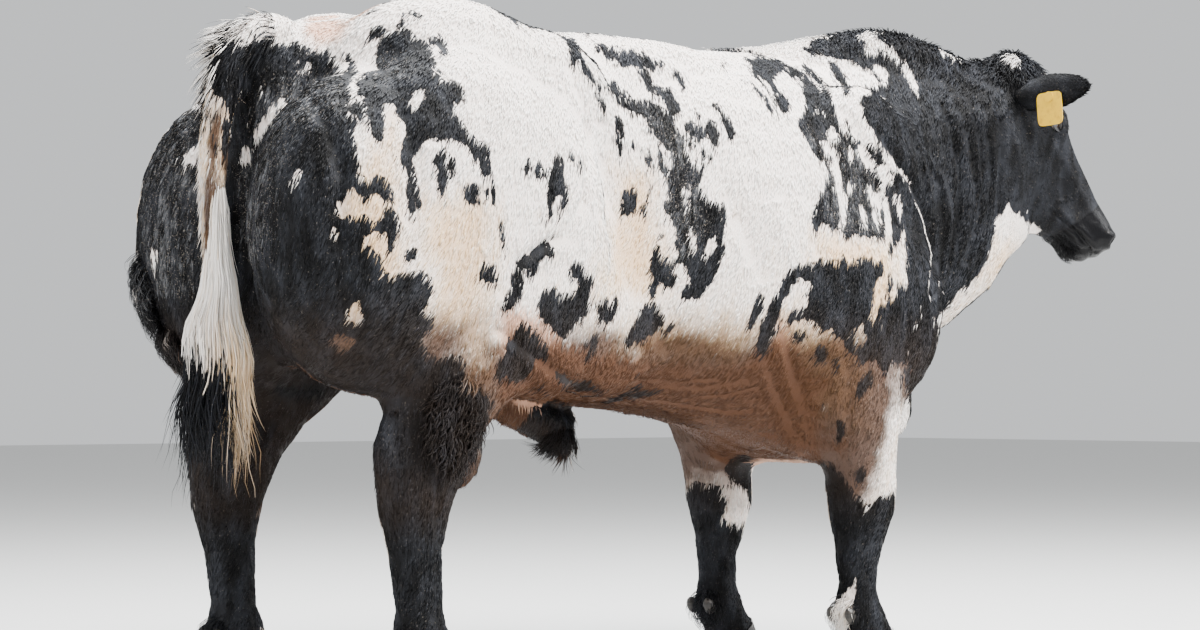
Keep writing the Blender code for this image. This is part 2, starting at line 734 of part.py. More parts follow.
def head_ball(name, centre, radii, turns=(0, 0, 0), subdivisions=3):
    """A stretched ball in the head's frame, as an object."""
    bm = bmesh.new()
    add_ball(bm, centre, radii, turns, head_frame(), subdivisions)
    return new_object(name, mesh_of(bm, name))


def carve_head(head):
    """Sockets and lid openings for the eyes, the nostrils and the line of the mouth."""
    x, out, z = EYE_CENTRE
    from_x, from_out, from_z = NOSTRIL_FROM
    way_x, way_out, way_z = NOSTRIL_WAY
    turn_x, turn_y, turn_z = NOSTRIL_TURNS
    tree = surface_tree(head)
    inward = head_frame().inverted()
    for side in SIDES.values():
        socket = head_ball("socket", (x, side * out, z), (EYE_RADIUS + GAP,) * 3)
        opening = head_ball("opening", (x, side * (out + 0.018), z + 0.001), LID_OPENING, (0, 14, side * -12))
        mouth_of_hole = head_surface(tree, (from_x, side * from_out, from_z), (way_x, side * way_out, way_z))
        turns = (side * turn_x, turn_y, side * turn_z)
        hole = head_ball("nostril", inward @ mouth_of_hole, NOSTRIL_RADII, turns, 2)
        for tool in (socket, opening, hole):
            combine(head, tool, "DIFFERENCE")
        remove(socket, opening, hole)
    mouth = mouth_cutter(head)
    combine(head, mouth, "DIFFERENCE")
    remove(mouth)


def surface_tree(obj):
    """A search tree of the object's faces."""
    bm = bmesh.new()
    bm.from_mesh(obj.data)
    tree = BVHTree.FromBMesh(bm)
    bm.free()
    return tree


def head_surface(tree, start, aim):
    """Where a ray through the head's own frame meets the surface."""
    frame = head_frame()
    origin = frame @ Vector(start)
    hit = tree.ray_cast(origin, (frame.to_3x3() @ Vector(aim)).normalized())[0]
    return origin if hit is None else hit


def mouth_cutter(head):
    """A thin bent bar that follows the lips from one corner of the mouth round to the other."""
    tree = surface_tree(head)
    reaches, levels = np.array(MOUTH_LEVELS).T
    points = []
    for turn in np.linspace(-1, 1, 19):
        angle = turn * math.radians(100)
        if abs(turn) < 0.6:
            reach = 0.470 + 0.060 * math.cos(angle)
            ahead = math.cos(angle)
        else:
            reach = 0.400 + 0.060 * (1 - abs(turn)) / 0.4
            ahead = 0
        level = float(np.interp(reach, reaches, levels))
        hit = head_surface(tree, (min(reach, 0.450), 0, level), (ahead, math.sin(angle), 0))
        points.append((*hit, MOUTH_RADIUS))
    return strut_object("mouth", points, 8, 1)


def ear_tag(frame):
    """A blank panel on the back of the ear, with a stem through it and a button in front, as one object."""
    wide, tall = TAG_PANEL
    outline = section(wide / 2, tall / 2, tall / 2, 6.0, 6.0, 24)
    outline[:, 0] += TAG_REACH
    outline[:, 1] += TAG_HOLE_LEVEL - tall * 0.36
    bm = bmesh.new()
    rings = [np.column_stack([outline, np.full(24, -TAG_BEHIND - depth)]) for depth in (0, TAG_THICKNESS)]
    add_loft(bm, [in_frame(frame, ring) for ring in rings])
    tag = new_object("ear_tag_right", mesh_of(bm, "ear_tag_right"))
    for radius, low, high in (
        (TAG_STEM, -TAG_BEHIND - 0.001, TAG_IN_FRONT - 0.001),
        (TAG_BUTTON, TAG_IN_FRONT - 0.002, TAG_IN_FRONT + 0.002),
        (TAG_BUTTON, -TAG_BEHIND - TAG_THICKNESS - 0.002, -TAG_BEHIND - 0.001),
    ):
        bar = tag_bar(frame, radius, low, high)
        combine(tag, bar, "UNION")
        remove(bar)
    return tag


def tag_bar(frame, radius, low, high):
    """A short round bar along the stem's line, between two levels of the ear's frame."""
    bm = bmesh.new()
    place = frame @ Matrix.Translation((TAG_REACH, TAG_HOLE_LEVEL, (low + high) / 2))
    bmesh.ops.create_cone(
        bm, cap_ends=True, segments=14, radius1=radius, radius2=radius, depth=high - low, matrix=place
    )
    return new_object("bar", mesh_of(bm, "bar"))


def tail_pieces(flesh_grown):
    """The tail as an upper and a lower piece and the core of its switch."""
    tail = strut_object("tail_lower", TAIL, 14)
    combine(tail, flesh_grown, "DIFFERENCE")
    upper = split(tail, "tail_upper", (-1.0, 0, TAIL_CUTS[0] + 0.5), (0.6, 0.4, 1.0))
    switch = split(tail, "tail_bone", (-1.0, 0, TAIL_CUTS[1] - 0.5), (0.6, 0.4, 1.0))
    remove(switch)
    core = strut_object("tail_switch", SWITCH, 10, 2)
    top = box("top_cutter", (-1.0, 0, TAIL_CUTS[1] - GAP / 2 + 0.5), (0.6, 0.4, 1.0))
    combine(core, top, "DIFFERENCE")
    remove(top)
    return upper, tail, core


def switch_locks(rng):
    """Locks that hang round the core of the switch."""
    locks = []
    table = stations(SWITCH, 6)
    for i in range(SWITCH_LOCKS):
        share = i / SWITCH_LOCKS
        x, y, z, radius = table[int(7 + share * (len(table) - 15))]
        angle = i * 2.4 + rng.uniform(-0.3, 0.3)
        outward = Vector((0.7 * math.cos(angle), math.sin(angle), 0)).normalized()
        root = Vector((x, y, z)) + outward * (radius * 0.80)
        spread = 0.36 * (1 - share) ** 2 + 0.05
        down = Vector((outward.x * spread * 0.5, outward.y * spread, -1))
        length = rng.uniform(0.13, 0.20) * (1 - 0.25 * share)
        width, bend = rng.uniform(0.008, 0.013), rng.uniform(-0.02, 0.02)
        locks.append(lock(f"lock_{i}", root, down, outward, length, width, bend))
    return locks


def poll_locks(head, rng):
    """Curly locks on the poll and the top of the forehead."""
    tree = surface_tree(head)
    turn = head_frame().to_3x3()
    locks = []
    for i in range(POLL_LOCKS):
        share = (i + 0.5) / POLL_LOCKS
        across = 0.058 * math.sin(i * 2.4)
        down = -0.030 + 0.120 * share
        outward = turn @ Vector((-0.15, across * 4, 1)).normalized()
        root = head_surface(tree, (down, across, 0.3), (0, 0, -1)) - outward * 0.003
        flow = turn @ Vector((0.85, rng.uniform(-0.6, 0.6), 0.30))
        length = rng.uniform(0.045, 0.065)
        locks.append(lock(f"lock_{i}", root, flow, outward, length, 0.011, rng.uniform(-0.014, 0.014)))
    return locks


def sheath_locks(rng):
    """The dark tuft at the tip of the sheath."""
    x, y, z, radius = SHEATH[-1]
    locks = []
    for i in range(SHEATH_LOCKS):
        angle = i * 2 * math.pi / SHEATH_LOCKS
        outward = Vector((math.cos(angle), math.sin(angle), 0))
        root = Vector((x, y, z + 0.012)) + outward * 0.012
        down = Vector((outward.x * 0.25 + 0.15, outward.y * 0.25, -1))
        locks.append(lock(f"lock_{i}", root, down, outward, rng.uniform(0.05, 0.075), 0.008, 0.006))
    return locks


def scrotum():
    """The scrotum, fused from balls and thinned out."""
    bm = bmesh.new()
    for centre, radii in SCROTUM:
        add_ball(bm, centre, radii)
    made = new_object("scrotum", mesh_of(bm, "scrotum"))
    remesh = made.modifiers.new("fuse", "REMESH")
    remesh.mode = "VOXEL"
    remesh.voxel_size = 0.007
    soften = made.modifiers.new("soften", "SMOOTH")
    soften.factor = 0.6
    soften.iterations = 12
    apply_modifiers(made)
    thin = made.modifiers.new("thin", "DECIMATE")
    thin.ratio = 300 / (2 * len(made.data.polygons))
    apply_modifiers(made)
    return made


def stand_on_origin():
    """Moves every piece so that the whole stands on the origin, centred, and sets its scale."""
    meshes = [obj.data for obj in bpy.data.objects if obj.type == "MESH"]
    low = np.min([mesh_points(mesh).min(axis=0) for mesh in meshes], axis=0)
    high = np.max([mesh_points(mesh).max(axis=0) for mesh in meshes], axis=0)
    middle = (low + high) / 2
    place = Matrix.Diagonal((SCALE, SCALE, SCALE, 1)) @ Matrix.Translation((-middle[0], -middle[1], -low[2]))
    for mesh in meshes:
        mesh.transform(place)


def main():
    clear_scene()
    rng = random.Random(SEED)
    hide = material("hide", (0.62, 0.60, 0.57), 0.8)
    skin = material("bare_skin", (0.45, 0.27, 0.22), 0.6)
    horn = material("hoof_horn", (0.12, 0.10, 0.09), 0.5)
    eye_look = material("eye", (0.03, 0.02, 0.02), 0.15)
    hair = material("tail_hair", (0.55, 0.50, 0.42), 0.85)
    tag_look = material("yellow_plastic", (0.85, 0.62, 0.04), 0.45)

    flesh = fused_flesh()
    flesh_grown = grown(flesh, GAP)

    for foot, x, y, side in foot_centres():
        for half, word in ((1, "left"), (-1, "right")):
            attach(claw(f"claw_{foot}_{word}", x, y, side * TOE_OUT, half), flesh_grown, horn)
            attach(dewclaw(f"dewclaw_{foot}_{word}", x, y, half), flesh_grown, horn)

    for word, side in SIDES.items():
        made = ear(f"ear_{word}", side)
        if word == "right":
            hole = tag_bar(ear_frame(side), TAG_STEM + GAP, -0.03, 0.03)
            combine(made, hole, "DIFFERENCE")
            remove(hole)
            tag = ear_tag(ear_frame(side))
            tidy(tag)
            finish(tag, tag_look)
        attach(made, flesh_grown, hide)

    upper, lower, switch = tail_pieces(flesh_grown)
    join_locks(switch, switch_locks(rng))
    for piece, look in ((upper, hide), (lower, hide), (switch, hair)):
        tidy(piece)
        finish(piece, look)

    sheath = strut_object("sheath", SHEATH, 12, 2)
    combine(sheath, flesh_grown, "DIFFERENCE")
    join_locks(sheath, sheath_locks(rng))
    finish(sheath, skin)
    pouch = scrotum()
    attach(pouch, flesh_grown, skin)
    sheath_grown = grown(sheath, GAP)
    combine(pouch, sheath_grown, "DIFFERENCE")
    tidy(pouch)
    remove(flesh_grown, sheath_grown)

    head = split(flesh, "head", *HEAD_CUT)
    carve_head(head)
    tidy(head)
    join_locks(head, poll_locks(head, rng))
    x, out, z = EYE_CENTRE
    for word, side in SIDES.items():
        ball = head_ball(f"eye_{word}", (x, side * out, z), (EYE_RADIUS,) * 3, subdivisions=2)
        finish(ball, eye_look)
    neck = split(flesh, "neck", *NECK_CUT)
    parts = [head, neck, flesh]
    for word, side in SIDES.items():
        for name, centre, size, turns in LIMB_CUTS:
            x, out, z = centre
            parts.append(split(flesh, f"{name}_{word}", (x, side * out, z), size, turns))
    flesh.name = "torso"
    for piece in parts:
        tidy(piece)
        finish(piece, hide)
    stand_on_origin()


main()
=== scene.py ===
"""A life-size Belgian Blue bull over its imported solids.

One skin takes the place of the flesh. On it lie the markings, the short coat, the fringes, the tail's hair, the
ears' hair, the eyes and their lids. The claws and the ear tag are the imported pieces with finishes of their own.
"""

import json
import logging
import math
from dataclasses import dataclass, field
from enum import Enum

import bpy
import numpy as np
from mathutils import Matrix, Vector
from mathutils.bvhtree import BVHTree

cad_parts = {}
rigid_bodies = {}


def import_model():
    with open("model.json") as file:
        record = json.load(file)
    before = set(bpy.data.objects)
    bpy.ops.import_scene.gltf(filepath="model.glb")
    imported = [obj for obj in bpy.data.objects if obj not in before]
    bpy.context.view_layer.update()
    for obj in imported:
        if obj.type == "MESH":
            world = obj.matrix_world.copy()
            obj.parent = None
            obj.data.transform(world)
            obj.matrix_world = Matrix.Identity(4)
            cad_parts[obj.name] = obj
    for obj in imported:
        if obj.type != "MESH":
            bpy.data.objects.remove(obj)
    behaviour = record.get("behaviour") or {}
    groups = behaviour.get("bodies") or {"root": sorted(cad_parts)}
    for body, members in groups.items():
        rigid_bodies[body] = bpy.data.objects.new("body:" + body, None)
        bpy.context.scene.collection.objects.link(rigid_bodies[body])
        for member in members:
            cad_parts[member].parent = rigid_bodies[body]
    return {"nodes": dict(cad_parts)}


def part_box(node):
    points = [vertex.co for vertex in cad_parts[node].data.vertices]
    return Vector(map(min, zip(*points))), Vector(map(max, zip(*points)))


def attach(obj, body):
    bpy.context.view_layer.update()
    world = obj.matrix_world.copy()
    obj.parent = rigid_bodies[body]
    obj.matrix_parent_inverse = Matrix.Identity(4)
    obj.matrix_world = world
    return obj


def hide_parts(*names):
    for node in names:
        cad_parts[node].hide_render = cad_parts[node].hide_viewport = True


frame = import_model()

LOG = logging.getLogger("bull")
SEED = 11
Array = np.ndarray
FULL_TURN = 2 * math.pi
DOWN = np.array([0.0, 0.0, -1.0])
# Depth of the coat's colour in the picture's pixels, from surely light to surely dark
LIGHTEST, LIGHT, DARK = -14.0, -9.0, 9.0


def thinned(count: int) -> int:
    return count // 1


def smoothstep(low: float, high: float, value: Array) -> Array:
    """Smooth step from 0 at low to 1 at high: t*t*(3 - 2t).

    Args:
        low: value where the step starts.
        high: value where it ends; it may be the smaller of the two.
        value: numbers to map.

    Returns:
        The mapped numbers.
    """
    t = np.clip((value - low) / (high - low), 0.0, 1.0)
    return t * t * (3.0 - 2.0 * t)


def sign_of(side: str) -> float:
    """Returns 1 for the left side and -1 for the right."""
    return 1.0 if side == "left" else -1.0


def bell(value: Array, width: float) -> Array:
    """Returns the bell curve of the value: 1 at 0, and 0.37 one width away."""
    return np.exp(-((value / width) ** 2))


def flattened(vectors: Array, normals: Array) -> Array:
    """Returns the rows without their share along the normals."""
    return vectors - np.einsum("ij,ij->i", vectors, normals)[:, None] * normals


def unit(vectors: Array) -> Array:
    """Returns the rows scaled to length one."""
    return vectors / np.maximum(np.linalg.norm(vectors, axis=-1, keepdims=True), 1e-12)


def noise(points: Array, scale: float | tuple, seed: int = 0) -> Array:
    """Smooth noise from -1 to 1: hashed corners of a unit lattice, blended with a smooth step along each axis.

    Args:
        points: N by 3 places in metres.
        scale: cells a metre, one number or one for each axis.
        seed: which noise.

    Returns:
        N numbers from -1 to 1.
    """
    scaled = points * np.asarray(scale, float)
    cell = np.floor(scaled).astype(np.int64)
    t = scaled - cell
    t = t * t * (3.0 - 2.0 * t)
    total = np.zeros(len(points))
    for corner in range(8):
        offset = np.array([corner & 1, (corner >> 1) & 1, (corner >> 2) & 1])
        key = (cell + offset).astype(np.uint64)
        mixed = key[:, 0] * np.uint64(374761393) + key[:, 1] * np.uint64(668265263)
        mixed = mixed + key[:, 2] * np.uint64(2246822519) + np.uint64(seed * 3266489917 % 2**32)
        mixed = (mixed ^ (mixed >> np.uint64(15))) * np.uint64(2246822519)
        mixed = (mixed ^ (mixed >> np.uint64(13))) * np.uint64(3266489917)
        number = ((mixed >> np.uint64(16)) & np.uint64(0xFFFFF)).astype(float) / 0xFFFFF
        weight = np.prod(np.where(offset == 1, t, 1.0 - t), axis=1)
        total += weight * number
    return total * 2.0 - 1.0


def soft_noise(points: Array, scale: float | tuple, seed: int = 0, octaves: int = 3) -> Array:
    """Sum of noises, each at twice the scale and half the height of the one before, from about -1 to 1."""
    total = np.zeros(len(points))
    for step in range(octaves):
        total += noise(points, np.asarray(scale, float) * 2.0**step, seed + 31 * step) * 0.5**step
    return total / (2.0 - 0.5 ** (octaves - 1)) * 1.4


class Part(Enum):
    """Which part of the animal a marking belongs to."""

    BODY = "body"
    TAIL = "tail"


@dataclass
class PhotoView:
    """The camera of the reference picture: where it stands, where it looks, and its focal length in pixels."""

    place: tuple = (-4.041, -4.635, 0.647)
    yaw: float = 0.85992
    pitch: float = 0.03194
    focal: float = 2669.1
    width: int = 1200
    height: int = 630
    sensor: float = 36.0

    def axes(self) -> tuple[Array, Array, Array]:
        """Returns the unit vectors forward, right and up of the camera."""
        across, level = math.cos(self.yaw), math.cos(self.pitch)
        forward = np.array([across * level, math.sin(self.yaw) * level, math.sin(self.pitch)])
        right = np.array([math.sin(self.yaw), -across, 0.0])
        return forward, right, np.cross(right, forward)

    def position(self) -> Array:
        """Returns the camera's place in the centred frame."""
        return np.array(self.place) + SHIFT

    def project(self, points: Array) -> tuple[Array, Array]:
        """Pixel of each point, by the pinhole rule: focal length times the sideways over the forward distance.

        Args:
            points: N by 3 places.

        Returns:
            N by 2 pixels of the full picture, and the N distances forward.
        """
        forward, right, up = self.axes()
        offset = points - self.position()
        depth = offset @ forward
        x = self.width / 2 + self.focal * (offset @ right) / depth
        y = self.height / 2 - self.focal * (offset @ up) / depth
        return np.stack([x, y], axis=1), depth

    def at_depth(self, pixels: Array, depth: Array | float) -> Array:
        """Returns the places that project to the pixels at the given distances forward."""
        forward, right, up = self.axes()
        pixels = np.asarray(pixels, float)
        depth = np.asarray(depth, float)
        sideways = (pixels[..., 0] - self.width / 2) / self.focal * depth
        upward = (self.height / 2 - pixels[..., 1]) / self.focal * depth
        ahead = self.position() + depth[..., None] * forward
        return ahead + sideways[..., None] * right + upward[..., None] * up

    def build(self) -> bpy.types.Object:
        """Makes the scene's camera.

        Returns:
            The camera object.
        """
        data = bpy.data.cameras.new("photo_camera")
        data.sensor_width = self.sensor
        data.lens = self.focal / self.width * self.sensor
        data.clip_start = 0.05
        data.clip_end = 100.0
        camera = bpy.data.objects.new("photo_camera", data)
        bpy.context.scene.collection.objects.link(camera)
        forward, right, up = self.axes()
        rotation = Matrix((right, up, -forward)).transposed()
        camera.matrix_world = Matrix.Translation(Vector(self.position())) @ rotation.to_4x4()
        bpy.context.scene.camera = camera
        return camera


@dataclass
class HeadFrame:
    """The head's own axes: x down the face from the poll, y to its left, z out of the forehead."""

    poll: tuple = (1.095, -0.215, 1.475)
    heading: float = math.radians(-24)
    pitch: float = math.radians(56)
    roll: float = math.radians(3)

    def turn(self) -> Matrix:
        """Returns the 4 by 4 turn of the head."""
        turn = Matrix.Rotation(self.heading, 4, "Z") @ Matrix.Rotation(self.pitch, 4, "Y")
        return turn @ Matrix.Rotation(self.roll, 4, "X")

    def matrix(self) -> Array:
        """Returns the 4 by 4 matrix from the head's axes to the centred frame."""
        return np.array(Matrix.Translation(Vector(np.array(self.poll) + SHIFT)) @ self.turn())

    def out(self, points: Array) -> Array:
        """Returns points of the head's axes in the centred frame."""
        matrix = self.matrix()
        return np.asarray(points, float) @ matrix[:3, :3].T + matrix[:3, 3]

    def into(self, points: Array) -> Array:
        """Returns points of the centred frame in the head's axes."""
        matrix = self.matrix()
        return (points - matrix[:3, 3]) @ matrix[:3, :3]


def drawing_shift(head: HeadFrame) -> Array:
    """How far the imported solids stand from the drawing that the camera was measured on.

    The middle of the right eye is known in both frames, and their difference is the shift along the floor.

    Args:
        head: the head's axes in the drawing.

    Returns:
        The shift in x, y and z, with z at 0.
    """
    low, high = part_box("eye_right")
    middle = (np.array(low) + np.array(high)) / 2.0
    forward, out, up = EYE_IN_HEAD
    drawn = np.array(head.turn())[:3, :3] @ np.array([forward, -out, up]) + np.array(head.poll)
    return (middle - drawn) * np.array([1.0, 1.0, 0.0])


# Middle of an eye in the head's axes, and the run of the head from the poll to the muzzle
EYE_IN_HEAD = (0.168, 0.092, 0.010)
FACE_RUN = ((0, 0, -0.05), (0.46, 0, -0.04))
VIEW = PhotoView()
HEAD = HeadFrame()
SHIFT = drawing_shift(HEAD)

# Run of the tail: x, y, z and radius
TAIL_RUN = np.array([
    (-0.900, 0.000, 1.385, 0.055), (-0.975, 0.000, 1.400, 0.052), (-1.045, 0.000, 1.345, 0.044),
    (-1.085, 0.000, 1.220, 0.034), (-1.098, -0.004, 1.060, 0.029), (-1.090, -0.010, 0.900, 0.025),
    (-1.080, -0.014, 0.780, 0.022), (-1.078, -0.012, 0.600, 0.020),
])
TAIL_RUN[:, :3] += SHIFT
# The skin of the tail lies this close to the run, behind this place along the body
TAIL_REACH, BEHIND_RUMP = 0.045, -1.10


def mirrored(points: Array) -> Array:
    """Returns the points on the other side of the body."""
    return points * np.array([1.0, -1.0, 1.0]) + np.array([0.0, 2.0 * SHIFT[1], 0.0])


def distance_to_path(points: Array, path: Array) -> Array:
    """Distance of each point to a broken line: the least distance to its straight runs.

    Args:
        points: N by D places.
        path: M by D corners of the line.

    Returns:
        N distances.
    """
    best = np.full(len(points), 1e9)
    for start, end in zip(path[:-1], path[1:]):
        along = end - start
        t = np.clip(((points - start) @ along) / max(along @ along, 1e-12), 0.0, 1.0)
        gap = points - start - t[:, None] * along
        best = np.minimum(best, np.sqrt(np.einsum("ij,ij->i", gap, gap)))
    return best


def inside(points: Array, outline: Array) -> Array:
    """True where a point is inside an outline: a ray to the right crosses it an odd number of times."""
    found = np.zeros(len(points), bool)
    x, y = points[:, 0], points[:, 1]
    for (ax, ay), (bx, by) in zip(outline, np.roll(outline, -1, axis=0)):
        if ay == by:
            continue
        crosses = (ay > y) != (by > y)
        found ^= crosses & (x < (bx - ax) * (y - ay) / (by - ay) + ax)
    return found


def depth_inside(points: Array, outline: Array, reach: float = 16.0) -> Array:
    """Signed distance to a closed outline, positive inside, and no lower than -reach.

    Args:
        points: N by 2 places of the plane.
        outline: M by 2 corners.
        reach: how far outside the distance is worked out.

    Returns:
        N signed distances.
    """
    result = np.full(len(points), -reach)
    low, high = outline.min(axis=0) - reach, outline.max(axis=0) + reach
    near = np.nonzero(np.all((points > low) & (points < high), axis=1))[0]
    if len(near) == 0:
        return result
    chosen = points[near]
    gap = distance_to_path(chosen, np.vstack([outline, outline[:1]]))
    result[near] = np.where(inside(chosen, outline), gap, -np.minimum(gap, reach))
    return result


def corners(text: str) -> Array:
    """Returns the corners written as pairs of whole numbers in the picture's pixels."""
    return np.array(text.replace(",", " ").split(), float).reshape(-1, 2)


@dataclass(frozen=True)
class Outline:
    """One marking: whether it is dark, and its corners in the picture's pixels."""

    dark: bool
    corners: Array


def outlines(text: str) -> tuple[Outline, ...]:
    """Reads outlines, each from a line that starts with D for dark or L for light up to the next such line.

    Args:
        text: the outlines; a line that starts with # says what follows, and other lines go on with the corners.

    Returns:
        The outlines in their order.
    """
    rows: list[str] = []
    for line in text.strip().splitlines():
        if line[0] in "DL":
            rows.append(line)
        elif line[0] != "#":
            rows[-1] += line
    return tuple(Outline(row[0] == "D", corners(row[1:])) for row in rows)


